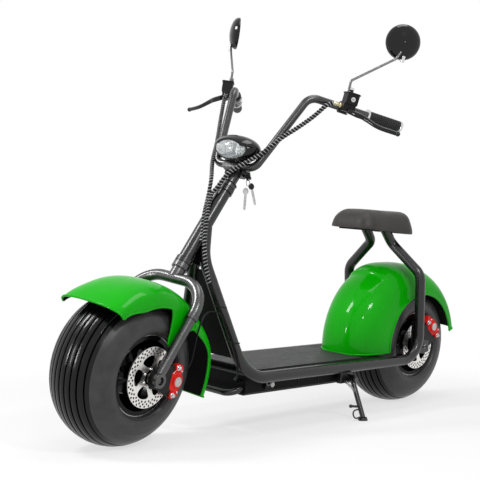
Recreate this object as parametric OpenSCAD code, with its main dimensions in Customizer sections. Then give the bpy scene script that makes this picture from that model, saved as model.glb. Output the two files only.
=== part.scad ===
// Electric motor scooter with two wide balloon tyres, a twin-tube frame, green mudguards and a side stand.
// Millimetres. +X is forward, +Y is the rider's left, +Z is up, and the ground is z = 0.

/* [Wheels] */
// Distance between the axles
wheelbase = 1300; // [1200:5:1400]
// Outside radius of both tyres
tyre_r = 225; // [205:1:240]
// Full width of both tyres
tyre_w = 220; // [190:1:224]
// Radius of the rim where the tyre sits
seat_r = 108; // [100:1:115]
// Half of the rim width between the flanges
rim_half = 86; // [76:1:90]
// Brake disc radius
disc_r = 88; // [78:1:92]
// Distance of the brake disc outside the tyre's side
disc_out = 1; // [0:0.5:4]
// Axle radius
axle_r = 7.5; // [6:0.5:9]

/* [Steering] */
// Rake of the steering axis from the vertical, degrees
rake = 35; // [30:0.5:38]
// How far the bars are turned to the left in the stored pose, degrees
bar_turn = 9.4; // [0:0.1:15]
// Distance of each fork leg outside the tyre's side
leg_gap = 28; // [26:1:36]
// Radius of the lower fork legs
leg_r = 15; // [12:0.5:16]
// Radius of the bent fork crown tube
crown_r = 17; // [14:0.5:18]
// Height of the crown tube above the tyre along the axis
crown_gap = 87; // [76:1:100]
// Length of the head tube
head_len = 286; // [266:1:306]
// Outside radius of the head tube
head_r = 22; // [20:0.5:25]
// Radius of the steering column inside the head tube
column_r = 16.95; // [15:0.05:17.5]

/* [Handlebar] */
// Handlebar tube radius
bar_r = 12.5; // [11:0.5:14]
// Height of the upper bends of the bar above its clamp
bar_rise = 242; // [210:1:270]
// Sideways reach of each bar end
bar_end_y = 335; // [300:1:350]
// Length of a grip
grip_len = 125; // [110:1:140]
// Grip radius
grip_r = 17; // [15:0.5:19]
// Mirror radius
mirror_r = 56; // [48:1:60]

/* [Frame] */
// Frame tube radius
rail_r = 18; // [15:0.5:19]
// Height of the straight deck part of the rails
rail_z = 186; // [180:1:196]
// Sideways place of the rails along the deck
rail_y = 150; // [145:1:158]
// Distance of the rear rails outside the tyre's side
rear_gap = 55; // [50:1:62]
// Thickness of the foot board
board_t = 12; // [8:1:14]
// Depth of the battery box under the foot board
battery_h = 62; // [50:1:70]

/* [Seat] */
// Height of the seat pan above the ground with the scooter upright
seat_z = 643; // [620:1:680]
// Seat length
seat_len = 270; // [240:1:300]
// Seat width at the back
seat_wid = 215; // [190:1:240]
// Seat width at the front
seat_nose = 184; // [160:1:200]
// Seat thickness in the middle
seat_h = 70; // [60:1:85]

/* [Parking] */
// Lean to the left onto the side stand, degrees
lean = 5; // [2:0.5:7]

/* [Hidden] */
$fn = 48;
axle_shift = 12;
front_x = wheelbase / 2 + axle_shift;
rear_x = front_x - wheelbase;
disc_t = 4;
disc_y = tyre_w / 2 + disc_out;
leg_y = tyre_w / 2 + leg_gap;
rear_y = tyre_w / 2 + rear_gap;
crown_s = tyre_r + crown_gap;
crown_neck = 52;
head_s0 = crown_s + crown_neck;
head_s1 = head_s0 + head_len;
board_lift = 4;
board_top = rail_z + board_lift + board_t;
mat_t = 4;
bore_gap = 0.05;
seat_gap = 0.2;
cut_over = 1;
shell_t = 4;

// Small vector helpers
function unit(v) = v / norm(v);
function flip(p) = [p.x, -p.y, p.z];
function bend_len(a, p, b, br) = br * tan(acos(unit(p - a) * unit(b - p)) / 2);
function along(a, b, d) = a + unit(b - a) * d;
function rev(v) = [for (i = [len(v) - 1:-1:0]) v[i]];
function both(v) = concat(v, rev([for (p = v) [p.x, -p.y]]));
function ramp(a, a0, a1) = let (t = min(1, max(0, (a - a0) / (a1 - a0)))) t * t * (3 - 2 * t);

// Straight round rod between two points; its seam is turned away from the cuts
seam_turn = 50;
module rod(a, b, r) {
    d = b - a;
    l = norm(d);
    translate(a) rotate([0, acos(d.z / l), atan2(d.y, d.x)]) rotate(seam_turn) cylinder(r = r, h = l);
}

// Round elbow of a tube at corner p
module elbow(a, p, b, br, r) {
    d1 = unit(p - a);
    d2 = unit(b - p);
    n = unit(d2 - d1 * (d1 * d2));
    c = p - d1 * bend_len(a, p, b, br) + n * br;
    w = cross(-n, d1);
    multmatrix([[-n.x, d1.x, w.x, c.x], [-n.y, d1.y, w.y, c.y], [-n.z, d1.z, w.z, c.z], [0, 0, 0, 1]])
        rotate_extrude(angle = acos(d1 * d2)) translate([br, 0]) circle(r);
}

// Bent round tube through a list of corners; each straight runs a little way into the stouter elbows
joint_in = 1.5;
joint_over = 0.2;
module bent(pts, br, r) {
    n = len(pts);
    for (i = [0:n - 2]) {
        t0 = i == 0 ? 0 : bend_len(pts[i - 1], pts[i], pts[i + 1], br[i - 1]) - joint_in;
        t1 = i == n - 2 ? 0 : bend_len(pts[i], pts[i + 1], pts[i + 2], br[i]) - joint_in;
        rod(along(pts[i], pts[i + 1], t0), along(pts[i + 1], pts[i], t1), r);
    }
    for (i = [1:n - 2]) elbow(pts[i - 1], pts[i], pts[i + 1], br[i - 1], r + joint_over);
}

// Places: the steering axis frame, the turned bars, and the two wheels
module on_axis() { translate([front_x, 0, tyre_r]) rotate([0, -rake, 0]) children(); }
module turned() {
    on_axis() rotate([0, 0, bar_turn]) rotate([0, rake, 0]) translate([-front_x, 0, -tyre_r]) children();
}
module turned_axis() { on_axis() rotate([0, 0, bar_turn]) children(); }
module front_wheel() { turned() translate([front_x, 0, tyre_r]) rotate([-90, 0, 0]) children(); }
module rear_wheel() { translate([rear_x, 0, tyre_r]) rotate([-90, 0, 0]) children(); }
module sideways(s) { rotate([-90 * s, 0, 0]) children(); }
function axis_pt(s, n = 0) =
    [front_x - s * sin(rake) + n * cos(rake), 0, tyre_r + s * cos(rake) + n * sin(rake)];

// Parked pose: leaned over and lifted so that the tyres just touch the ground
park_y = -80;
shoulder_part = 0.378;
shoulder = tyre_r * shoulder_part;
lift = sqrt(pow(shoulder * cos(lean), 2) + pow(tyre_w / 2 * sin(lean), 2)) - shoulder * cos(lean);
module parked() { translate([0, park_y, lift]) rotate([-lean, 0, 0]) children(); }
function ground_z(y) = (y * sin(lean) - lift) / cos(lean);

// Tyre section: ribbed tread, round shoulders, side walls down to the flanges
tread_a = 38;
tread_half = tyre_w / 2 * sin(tread_a);
ribs = 7;
rib_step = tread_half * 2 / ribs;
rib_cut = 6;
groove = 2.5;
flange_h = 10;
flange_t = 5;
flange_r = seat_r + flange_h;
bead_r = flange_r + 0.5;
bead_y = rim_half + flange_t + 1;
function crown(y) = tyre_r - shoulder + shoulder * sqrt(1 - pow(2 * y / tyre_w, 2));
function tyre_side(s) = concat(
    [for (a = [90:-15:0]) [tyre_r - shoulder + (bead_r - tyre_r + shoulder) * sin(a),
        s * (bead_y + (tyre_w / 2 - bead_y) * cos(a))]],
    [for (a = [80:-10.5:tread_a]) [tyre_r - shoulder + shoulder * cos(a), s * tyre_w / 2 * sin(a)]]);
function rib(y) = [[crown(y - groove), y - groove], [crown(y) - rib_cut, y - groove * 0.8],
    [crown(y) - rib_cut, y + groove * 0.8], [crown(y + groove), y + groove]];
function rib_y(i) = -tread_half + i * rib_step;
tread = [for (i = [1:ribs - 1]) each concat(rib(rib_y(i)),
    i < ribs - 1 ? [[crown(rib_y(i + 0.5)), rib_y(i + 0.5)]] : [])];
module tyre_ring() {
    rotate_extrude($fn = 72) polygon(concat([[seat_r, -rim_half], [bead_r, -rim_half]], tyre_side(-1), tread,
        rev(tyre_side(1)), [[bead_r, rim_half], [seat_r, rim_half]]));
}

// Rims: a flanged barrel with a stepped well, and a dished web (front) or a motor drum (rear) round the hub
barrel_t = 5;
rim_edge = rim_half + flange_t;
well_r = seat_r - 14;
well_in = 22;
hub_r = 27;
hub_y0 = -rim_edge - 9;
hub_y1 = disc_y - disc_t / 2;
web_t = 7;
web_y = 12;
web_dish = 24;
web_in = 1;
web_hole_r = 19;
web_holes = 5;
module rim_barrel() {
    rotate_extrude() polygon(both([[well_r, well_in - rim_half], [seat_r - barrel_t, -rim_edge],
        [flange_r, -rim_edge], [flange_r, -rim_half], [seat_r, -rim_half]]));
}
module axle_bore() { translate([0, 0, -tyre_w]) cylinder(r = axle_r + bore_gap, h = tyre_w * 2); }
module front_tyre() { color("#1c1c1e") front_wheel() tyre_ring(); }
module front_rim() {
    color("#141416") front_wheel() difference() {
        union() {
            rim_barrel();
            translate([0, 0, hub_y0]) cylinder(r = hub_r, h = hub_y1 - hub_y0);
            rotate_extrude() polygon([[hub_r - web_in, web_y + web_dish], [well_r + web_in, web_y],
                [well_r + web_in, web_y - web_t], [hub_r - web_in, web_y + web_dish - web_t * 2]]);
        }
        axle_bore();
        for (i = [1:web_holes]) rotate(i * 360 / web_holes) translate([(hub_r + well_r) / 2, 0, -web_y])
            cylinder(r = web_hole_r, h = web_y * 5);
    }
}
drum_r = well_r - 2;
drum_y = 62;
drum_lip = 6;
drum_face = drum_r * 0.6;
module rear_tyre() { color("#1c1c1e") rear_wheel() tyre_ring(); }
module rear_rim() {
    color("#141416") rear_wheel() difference() {
        union() {
            rim_barrel();
            rotate_extrude() polygon(both([[0, -drum_y - drum_lip],
                [drum_face - drum_lip, -drum_y - drum_lip], [drum_face, -drum_y],
                [drum_r, -drum_y + drum_lip], [drum_r, -drum_lip * 2],
                [well_r + web_in, -drum_lip * 2]]));
            translate([0, 0, hub_y0]) cylinder(r = hub_r, h = hub_y1 - hub_y0);
        }
        axle_bore();
    }
}

// Drilled disc with five swept windows
disc_hole_r = 2.6;
disc_row = 9;
disc_holes = 18;
disc_bore = 20;
disc_windows = 5;
disc_drawn_r = 88;
disc_window = [[29, -14], [42, -24], [56, -26], [61, -8], [59, 8], [52, 17], [44, 11], [33, 2]];
module brake_disc() {
    translate([0, 0, disc_y - disc_t / 2]) difference() {
        cylinder(r = disc_r, h = disc_t);
        translate([0, 0, -cut_over]) {
            cylinder(r = disc_bore, h = disc_t * 2);
            for (i = [1:disc_windows]) rotate(i * 360 / disc_windows) linear_extrude(disc_t * 2)
                polygon(disc_window * disc_r / disc_drawn_r);
            for (i = [1:disc_holes], k = [1, 2]) rotate((i + k / 2) * 360 / disc_holes)
                translate([disc_r - disc_row * k, 0]) cylinder(r = disc_hole_r, h = disc_t * 2, $fn = 16);
        }
    }
}
module front_disc() { color("#c9c9cc") front_wheel() brake_disc(); }
module rear_disc() { color("#c9c9cc") rear_wheel() brake_disc(); }

// Caliper astride the disc edge: local x outward along the radius, y along the disc, z across it
pad_gap = 5;
half_out = 11;
half_in = 8;
cal_face = disc_y + disc_t / 2 + pad_gap + half_out + 1;
cal_in = disc_y - disc_t / 2 - pad_gap;
bridge_len = 18;
bridge_half = 22;
pad_in = 20;
pad_half = 20;
cap_r = 17;
cap_h = 5;
cap_x = disc_r + 2;
ear_x = disc_r - 14;
ear_y = 38;
bracket_t = 6;
cal_lobes = both([[-26, -22], [-18, -30], [-4, -48], [14, -50], [22, -40], [18, -24], [28, -14]]);
module caliper_body() {
    translate([disc_r, 0, cal_face - half_out]) linear_extrude(half_out) polygon(cal_lobes);
    translate([disc_r + pad_gap, -bridge_half, cal_in - half_in])
        cube([bridge_len, bridge_half * 2, cal_face - half_out / 2 - cal_in + half_in]);
    translate([disc_r - pad_in, -pad_half, cal_in - half_in])
        cube([pad_in + pad_gap + bridge_len, pad_half * 2, half_in]);
    translate([cap_x, 0, cal_face]) cylinder(r = cap_r, h = cap_h);
}
bracket_form = both([[-25, -14], [-12, -27], [14, -28], [ear_x - 14, -ear_y - 8], [ear_x + 9, -ear_y - 8],
    [ear_x + 10, -ear_y + 9], [ear_x - 4, -ear_y + 14]]);
module brake_bracket(hole) {
    translate([0, 0, cal_face]) difference() {
        linear_extrude(bracket_t) polygon(bracket_form);
        translate([0, 0, -cut_over]) cylinder(r = hole, h = bracket_t * 2);
        translate([cap_x, 0, -cut_over]) cylinder(r = cap_r + seat_gap, h = bracket_t * 2);
    }
}

// Fork: bent crown tube with column, two legs with axle bosses, axle
leg_top = tyre_r - 13;
collar_h = 12;
collar_over = 3.5;
crown_bend = 96;
head_gap = 2;
race_h = 18;
column_end = 20;
boss_r = 21;
boss_in = 16;
boss_len = 33;
boss_open = 12;
spacer_r = axle_r + 5;
module fork_crown() {
    color("#3a3a3e") turned_axis() {
        bent([[0, leg_y, leg_top], [0, leg_y, crown_s], [0, -leg_y, crown_s], [0, -leg_y, leg_top]],
            [crown_bend, crown_bend], crown_r);
        translate([0, 0, crown_s]) cylinder(r = head_r - 1, h = crown_neck - head_gap);
        translate([0, 0, head_s0 - head_gap - race_h]) cylinder(r = head_r + cup_over, h = race_h);
        translate([0, 0, crown_s]) cylinder(r = column_r, h = head_s1 - crown_s + column_end);
    }
}
module leg_rod(s) { translate([0, s * leg_y, 0]) cylinder(r = leg_r, h = leg_top); }
module fork_leg(s) {
    turned_axis() difference() {
        union() {
            leg_rod(s);
            translate([0, s * leg_y, leg_top - collar_h]) cylinder(r = leg_r + collar_over, h = collar_h);
            translate([0, s * (leg_y - boss_in), 0]) sideways(s) cylinder(r = boss_r, h = boss_len);
        }
        translate([0, s * (leg_y - boss_in - cut_over), 0]) sideways(s)
            cylinder(r = axle_r + bore_gap, h = boss_len + cut_over * 2);
        translate([0, s * (leg_y + boss_len - boss_in - boss_open), 0]) sideways(s)
            cylinder(r = axle_r + 4, h = boss_open + cut_over);
    }
}
module fork_leg_left() { color("#55555a") fork_leg(1); }
module fork_leg_right() { color("#55555a") fork_leg(-1); }
module spacers(half) {
    disc_end = hub_y1 + disc_t + cut_over;
    translate([0, 0, disc_end]) cylinder(r = spacer_r, h = half - disc_end);
    translate([0, 0, -half]) cylinder(r = spacer_r, h = half + hub_y0 - 2);
}
module front_axle() {
    half = leg_y + boss_len - boss_in - boss_open;
    color("#b8b8bc") front_wheel() {
        translate([0, 0, -half]) cylinder(r = axle_r, h = half * 2);
        spacers(leg_y - boss_in);
    }
}

// Front brake
front_cal = 190;
module front_caliper() { color("#d01818") front_wheel() rotate(-front_cal) caliper_body(); }
module front_brake_bracket() {
    color("#202022") front_wheel() difference() {
        rotate(-front_cal) brake_bracket(boss_r + seat_gap);
        rotate([90, 0, 0]) rotate([0, -rake, 0]) translate([0, leg_y, 0])
            cylinder(r = leg_r + seat_gap, h = leg_top);
    }
}

// Mudguard shell: a loft of sections swept round an axle, each a rounded dome with flared skirts below
dome_n = 12;
function dome_y(i, hw) = -hw * cos(180 * i / dome_n);
function dome_z(y, hw, lo, hi, p) = lo + (hi - lo) * pow(max(0, 1 - pow(abs(y) / hw, p)), 1 / p);
function section(hw, lo, base, hi, p, lip) = concat([[-hw - lip, lo]],
    [for (i = [0:dome_n]) [dome_y(i, hw), dome_z(dome_y(i, hw), hw, base, hi, p)]], [[hw + lip, lo]]);
function spot(a, q) = [q[1] * cos(a), q[0], q[1] * sin(a)];
function strip(a, b, c, d) = [[a, b, c], [a, c, d]];
module shell(angles, outer, inner) {
    n = len(angles);
    m = len(outer[0]);
    o = n * m;
    pts = concat([for (k = [0:n - 1]) each [for (q = outer[k]) spot(angles[k], q)]],
                 [for (k = [0:n - 1]) each [for (q = inner[k]) spot(angles[k], q)]]);
    skin = [for (k = [0:n - 2], j = [0:m - 2]) each
        strip(k * m + j, k * m + j + 1, (k + 1) * m + j + 1, (k + 1) * m + j)];
    under = [for (k = [0:n - 2], j = [0:m - 2]) each
        strip(o + k * m + j, o + (k + 1) * m + j, o + (k + 1) * m + j + 1, o + k * m + j + 1)];
    low = [for (k = [0:n - 2]) each strip(k * m, (k + 1) * m, o + (k + 1) * m, o + k * m)];
    ends = [for (j = [0:m - 2]) each concat(strip(j, o + j, o + j + 1, j + 1),
        strip(o - m + j, o - m + j + 1, o * 2 - m + j + 1, o * 2 - m + j))];
    high = [for (k = [0:n - 2]) each
        strip(k * m + m - 1, o + k * m + m - 1, o + (k + 1) * m + m - 1, (k + 1) * m + m - 1)];
    polyhedron(pts, [for (f = concat(skin, under, low, high, ends)) rev(f)], convexity = 8);
}

// Front mudguard: a tab on each side reaches down to the fork leg, and the rear turns into a narrow strip
fender_half = leg_y - leg_r - 3.5;
ff_base_r = tyre_r - 20;
ff_top = tyre_r + 36;
ff_skirt = 3;
ff_tab = 96;
ff_nose = 14;
ff_start = 52;
ff_end = 199.6;
ff_steps = 26;
function ff_hi(a) = ff_top + 10 * ramp(a, 130, 185);
function ff_base(a) = ff_base_r + 44 * ramp(a, 138, 172);
function ff_low(a) = ff_base(a) - ff_skirt - ff_tab * ramp(a, 104, 120) * (1 - ramp(a, 126, 142))
    - ff_nose * (1 - ramp(a, ff_start, 66));
function ff_p(a) = 2.5 + 1.5 * ramp(a, 130, 185);
function ff_section(a, t) = section(fender_half - t, ff_low(a), ff_base(a), ff_hi(a) - t, ff_p(a), 0);
ff_angles = [for (i = [0:ff_steps]) ff_start + i * (ff_end - ff_start) / ff_steps];
tab_s = tyre_r - 75;
tab_r = 9;
tab_in = 2;
module front_fender() {
    color("#12c812") {
        turned() translate([front_x, 0, tyre_r])
            shell(ff_angles, [for (a = ff_angles) ff_section(a, 0)],
                [for (a = ff_angles) ff_section(a, shell_t)]);
        turned_axis() for (s = [-1, 1]) difference() {
            translate([0, s * (fender_half - tab_in), tab_s]) sideways(s)
                cylinder(r = tab_r, h = leg_y - fender_half + tab_in);
            leg_rod(s);
        }
    }
}

// Rear mudguard: a helmet that stands on the foot board, with a crease across the crown and a flared arch
rf_half = tyre_w / 2 + 14;
rf_base = tyre_r - 20;
rf_skirt = 14;
rf_lip = 3;
rf_crease = 6;
rf_end = 166;
rf_steps = 28;
function rf_hi(a) = tyre_r + 74 + 45 * cos(a) + rf_crease * (1 - ramp(a, 66, 71)) - rf_crease / 2;
rf_p = 2.3;
function rf_section(a, t) = section(rf_half - t, rf_base - rf_skirt, rf_base, rf_hi(a) - t, rf_p, rf_lip);
rf_start = asin((board_top - tyre_r) / rf_hi(0));
rf_angles = [for (i = [0:rf_steps]) rf_start + i * (rf_end - rf_start) / rf_steps];
module rear_fender() {
    color("#12c812") difference() {
        translate([rear_x, 0, tyre_r])
            shell(rf_angles, [for (a = rf_angles) rf_section(a, 0)],
                [for (a = rf_angles) rf_section(a, shell_t)]);
        translate([rear_x, -rf_half * 2, 0]) cube([rf_half * 4, rf_half * 4, board_top]);
    }
}

// Frame rails: beside the head tube, down tube, deck side, upright, knee, seat
weld_top = [141, -6, 4];
weld_low = [53, -46, 19.5];
down_x = front_x - 356;
rail_p = [axis_pt(head_s0 + weld_top.x, weld_top.y) + [0, weld_top.z, 0],
    axis_pt(head_s0 + weld_low.x, weld_low.y) + [0, weld_low.z, 0],
    [down_x, rail_y, rail_z], [rear_x + 58, rear_y - 5, rail_z], [rear_x + 88, rear_y, seat_z - 149],
    [rear_x + 115, 46, seat_z - 43], [rear_x + 167, 44, seat_z + 17]];
rail_bend = [160, 105, 85, 55, 40];
module rail(s) { bent([for (p = rail_p) s > 0 ? p : flip(p)], rail_bend, rail_r); }
module rails() {
    rail(1);
    rail(-1);
}
module head_core() { on_axis() translate([0, 0, head_s0]) cylinder(r = head_r, h = head_len); }
module cut_rail(s) {
    difference() {
        rail(s);
        head_core();
        translate([rear_x, -rear_y, seat_z]) cube([rear_y * 2, rear_y * 2, rail_r * 4]);
        translate([down_x, s > 0 ? bore_gap - rear_y : -bore_gap, rail_z])
            cube([front_x - down_x, rear_y, head_s1]);
    }
}
module rail_left() { color("#2a2a2d") cut_rail(1); }
module rail_right() { color("#2a2a2d") cut_rail(-1); }
cup_h = 16;
cup_over = 4;
module head_cups() {
    for (s = [head_s0, head_s1 - cup_h]) translate([0, 0, s]) cylinder(r = head_r + cup_over, h = cup_h);
}
module head_tube() {
    color("#2a2a2d") {
        on_axis() difference() {
            union() {
                translate([0, 0, head_s0]) cylinder(r = head_r, h = head_len);
                head_cups();
            }
            translate([0, 0, head_s0 - cut_over])
                cylinder(r = column_r + bore_gap, h = head_len + cut_over * 2);
        }
    }
}

// Plates between the rails
down_a = rail_p[1];
down_b = rail_p[2];
down_tilt = atan2(down_a.x - down_b.x, down_a.z - down_b.z);
down_len = norm([down_a.x - down_b.x, down_a.z - down_b.z]);
function down_y(t) = rail_y + (down_a.y - rail_y) * t / down_len;
shield_t = 4;
shield_in = 12;
shield_0 = 60;
shield_1 = down_len - 36;
module shield() {
    color("#1d1d20") difference() {
        translate([down_b.x, 0, down_b.z]) rotate([0, down_tilt, 0]) rotate([90, 0, 90])
            translate([0, 0, -shield_t / 2]) linear_extrude(shield_t)
            polygon([[shield_in - down_y(shield_0), shield_0], [down_y(shield_0) - shield_in, shield_0],
                [down_y(shield_1) - shield_in, shield_1], [shield_in - down_y(shield_1), shield_1]]);
        rails();
    }
}
gusset_t = 6;
gusset_in = head_r - 10;
gusset_top = axis_pt(head_s0 + 75, -gusset_in);
gusset_low = axis_pt(head_s0 + 20, -gusset_in);
gusset_tip = down_a - [4, 0, 26];
module head_gusset() {
    color("#2a2a2d") difference() {
        rotate([90, 0, 0]) translate([0, 0, -gusset_t / 2]) linear_extrude(gusset_t)
            polygon([for (p = [gusset_top, gusset_low, gusset_tip]) [p.x, p.z]]);
        head_core();
        on_axis() head_cups();
        rails();
    }
}
board_x0 = rear_x + tyre_r + 18;
board_x1 = down_x - 66;
module foot_board() {
    color("#1b1b1d") difference() {
        translate([board_x0, -rail_y, board_top - board_t]) cube([board_x1 - board_x0, rail_y * 2, board_t]);
        rails();
    }
}
mat_half = rail_y - rail_r - 4;
mat_x0 = rear_x + rf_hi(0) + 6;
mat_bend = down_x - bend_len(down_a, down_b, rail_p[3], rail_bend[1]);
mat_cut = 16;
module deck_mat() {
    color("#2f2f33") translate([0, 0, board_top]) linear_extrude(mat_t)
        polygon(both([[mat_x0, -mat_half], [mat_bend, -mat_half], [board_x1 - 4, mat_cut - mat_half]]));
}
box_half = rail_y - rail_r - 4;
box_x0 = board_x0 + 195;
box_x1 = down_x - 26;
box_z = board_top - board_t - battery_h;
box_edge = 8;
module battery_box() {
    color("#18181a") translate([box_x0, 0, box_z]) rotate([90, 0, 90]) linear_extrude(box_x1 - box_x0)
        polygon([[-box_half, battery_h], [-box_half, box_edge], [box_edge - box_half, 0],
            [box_half - box_edge, 0], [box_half, box_edge], [box_half, battery_h]]);
}
port_x = box_x1 - 91;
port_z = box_z + 23;
module charge_port() {
    color("#0f0f10") translate([port_x, box_half, port_z]) sideways(1) {
        cylinder(r = 11, h = 8);
        translate([-22, 8, 0]) cylinder(r = 9, h = 5);
    }
}
cross_r = 12;
cross_z = rail_z + board_lift - cross_r - cut_over;
module cross_tubes() {
    color("#2a2a2d") difference() {
        for (x = [board_x0 + 14, board_x0 + 130]) rod([x, -rail_y, cross_z], [x, rail_y, cross_z], cross_r);
        rails();
    }
}
belly_r = 10;
belly_y = 96;
belly_p = [[box_x1 - 20, belly_y + 16, box_z + 22], [box_x1 + 39, belly_y, box_z + 6]];
module belly_guard() {
    color("#232326") difference() {
        bent([belly_p[0], belly_p[1], flip(belly_p[1]), flip(belly_p[0])], [34, 34], belly_r);
        translate([box_x0, -box_half, box_z]) cube([box_x1 - box_x0, box_half * 2, battery_h]);
    }
}

// Rear axle, its plates and the rear brake
plate_t = 8;
plate_y = rear_y - rail_r + 1;
stub_r = axle_r - 1.5;
stub_len = 15;
module rear_plate(s) {
    difference() {
        translate([rear_x, s * (plate_y - plate_t / 2), tyre_r]) rotate([90, 0, 0])
            translate([0, 0, -plate_t / 2]) linear_extrude(plate_t)
            polygon([[-20, -20], [16, -26], [84, -6], [86, 96], [58, 96], [10, 24], [-20, 20]]);
        rail(s);
        rear_wheel() axle_bore();
    }
}
module axle_plates() { color("#2a2a2d") { rear_plate(1); rear_plate(-1); } }
module rear_axle() {
    color("#b8b8bc") rear_wheel() {
        translate([0, 0, -plate_y]) cylinder(r = axle_r, h = plate_y * 2);
        for (s = [0, 1]) mirror([0, 0, s]) translate([0, 0, plate_y]) cylinder(r = stub_r, h = stub_len);
        spacers(plate_y - plate_t);
    }
}
rear_cal = 130;
module rear_caliper() { color("#d01818") rear_wheel() rotate(-rear_cal) caliper_body(); }
module rear_brake_bracket() {
    color("#202022") rear_wheel() rotate(-rear_cal) brake_bracket(spacer_r + bore_gap);
}

// Seat: a saddle that is wider and higher at the back
seat_x = rear_x + 185;
pan_t = 6;
pan_in = 30;
seat_round = 60;
module seat_pan() {
    color("#1b1b1d") translate([seat_x - seat_len / 2 + pan_in, -seat_nose / 2 + pan_in, seat_z])
        cube([seat_len - pan_in * 2, seat_nose - pan_in * 2, pan_t]);
}
module seat_layer(inset, z_back, z_front, h) {
    r = seat_round - inset;
    for (s = [-1, 1]) {
        translate([seat_round - seat_len / 2, s * (seat_wid / 2 - seat_round), z_back])
            cylinder(r = r, h = h, $fn = 32);
        translate([seat_len / 2 - seat_round, s * (seat_nose / 2 - seat_round), z_front])
            cylinder(r = r, h = h, $fn = 32);
    }
}
module seat_cushion() {
    color("#26221f") translate([seat_x, 0, seat_z + pan_t]) hull() {
        seat_layer(10, 0, 0, 2);
        seat_layer(0, 24, 22, 22);
        seat_layer(18, seat_h - 4, seat_h - 12, 4);
    }
}

// Handlebar, stem and controls, all in the straight-ahead frame and then turned
stem_h = 76;
stem_r = head_r - 2;
stem_ring_h = 12;
clamp_s = head_s1 + stem_h;
clamp_n = 18;
clamp_half = 30;
clamp_low = 22;
clamp_high = 16;
clamp_back = 20;
bar_bend = 45;
riser_bend = 30;
bar_c = axis_pt(clamp_s, clamp_n);
bar_l = [bar_c + [0, 76, 0], bar_c + [-136, 150, bar_rise], bar_c + [-397, bar_end_y, bar_rise - 52]];
module bar_tube() {
    bent(concat([for (p = rev(bar_l)) flip(p)], bar_l), [bar_bend, riser_bend, riser_bend, bar_bend], bar_r);
}
module handlebar() { color("#2a2a2d") turned() bar_tube(); }
module clamp_block() {
    translate([-clamp_back, -clamp_half, clamp_s - clamp_low])
        cube([clamp_n + clamp_back + clamp_low, clamp_half * 2, clamp_low + clamp_high]);
}
module stem() {
    color("#161618") turned_axis() difference() {
        union() {
            translate([0, 0, head_s1 + head_gap]) cylinder(r = head_r + 3, h = stem_ring_h);
            translate([0, 0, head_s1 + head_gap]) cylinder(r = stem_r, h = stem_h - clamp_low);
            clamp_block();
        }
        translate([0, 0, head_s1]) cylinder(r = column_r + bore_gap, h = column_end);
        translate([clamp_n, -clamp_half - cut_over, clamp_s]) sideways(1)
            cylinder(r = bar_r + bore_gap, h = (clamp_half + cut_over) * 2);
        for (s = [-1, 1]) translate([clamp_n, s * clamp_half, clamp_s + bar_r + 3.5]) sideways(1)
            translate([0, 0, -14]) cube([14, 8, 28]);
    }
}
grip_end = 6;
collar_w = 6;
collar_t = 4;
grip_a = along(bar_l[2], bar_l[1], -grip_end);
grip_b = along(bar_l[2], bar_l[1], grip_len);
module grip() {
    difference() {
        union() {
            rod(grip_b, grip_a, grip_r);
            rod(along(grip_b, grip_a, 3), along(grip_b, grip_a, 3 + collar_w), grip_r + collar_t);
        }
        rod(along(grip_b, grip_a, -cut_over), bar_l[2], bar_r + bore_gap);
    }
}
module other_side() { mirror([0, 1, 0]) children(); }
module grip_left() { color("#121213") turned() grip(); }
module grip_right() { color("#121213") turned() other_side() grip(); }

// Lever sets: local frame on the bar with z out along the bar, x forward of it and y down
bar_u = unit(bar_l[2] - bar_l[1]);
bar_f = unit(cross(bar_u, [0, 0, 1]));
bar_v = cross(bar_f, bar_u);
perch_c = along(bar_l[2], bar_l[1], grip_len + 80);
module on_perch() {
    multmatrix([[bar_f.x, -bar_v.x, bar_u.x, perch_c.x], [bar_f.y, -bar_v.y, bar_u.y, perch_c.y],
        [bar_f.z, -bar_v.z, bar_u.z, perch_c.z], [0, 0, 0, 1]]) children();
}
lever_r = 5.5;
lever_ball = 8;
lever_knee = perch_c + bar_f * (bar_r + 74) + bar_u * 26;
lever_tip = bar_l[2] + bar_f * 164 - bar_u * 77 - bar_v * 38;
tank_top = -44;
perch_w = 30;
perch_t = 6;
pivot_len = 34;
tank_len = 40;
tank_lid = 4;
module pivot_block() { translate([bar_r, -14, -tank_len / 2]) cube([pivot_len, 26, tank_len]); }
module perch() {
    on_perch() difference() {
        union() {
            translate([0, 0, -perch_w / 2]) cylinder(r = bar_r + perch_t, h = perch_w);
            pivot_block();
            translate([14, tank_top, -18]) cube([36, -12 - tank_top, tank_len]);
            translate([12, tank_top - tank_lid, -20]) cube([40, tank_lid, tank_len + tank_lid]);
            translate([22, tank_top - 14, 0]) sideways(1) cylinder(r = 7, h = 12);
        }
        translate([0, 0, -tank_len]) cylinder(r = bar_r + bore_gap, h = tank_len * 2);
    }
}
module lever() {
    difference() {
        union() {
            bent([perch_c + bar_f * (bar_r + 20), lever_knee, lever_tip], [24], lever_r);
            translate(lever_tip) sphere(r = lever_ball);
        }
        on_perch() pivot_block();
    }
}
module perch_left() { color("#161618") turned() perch(); }
module perch_right() { color("#161618") turned() other_side() perch(); }
module lever_left() { color("#1d1d1f") turned() lever(); }
module lever_right() { color("#1d1d1f") turned() other_side() lever(); }

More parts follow.
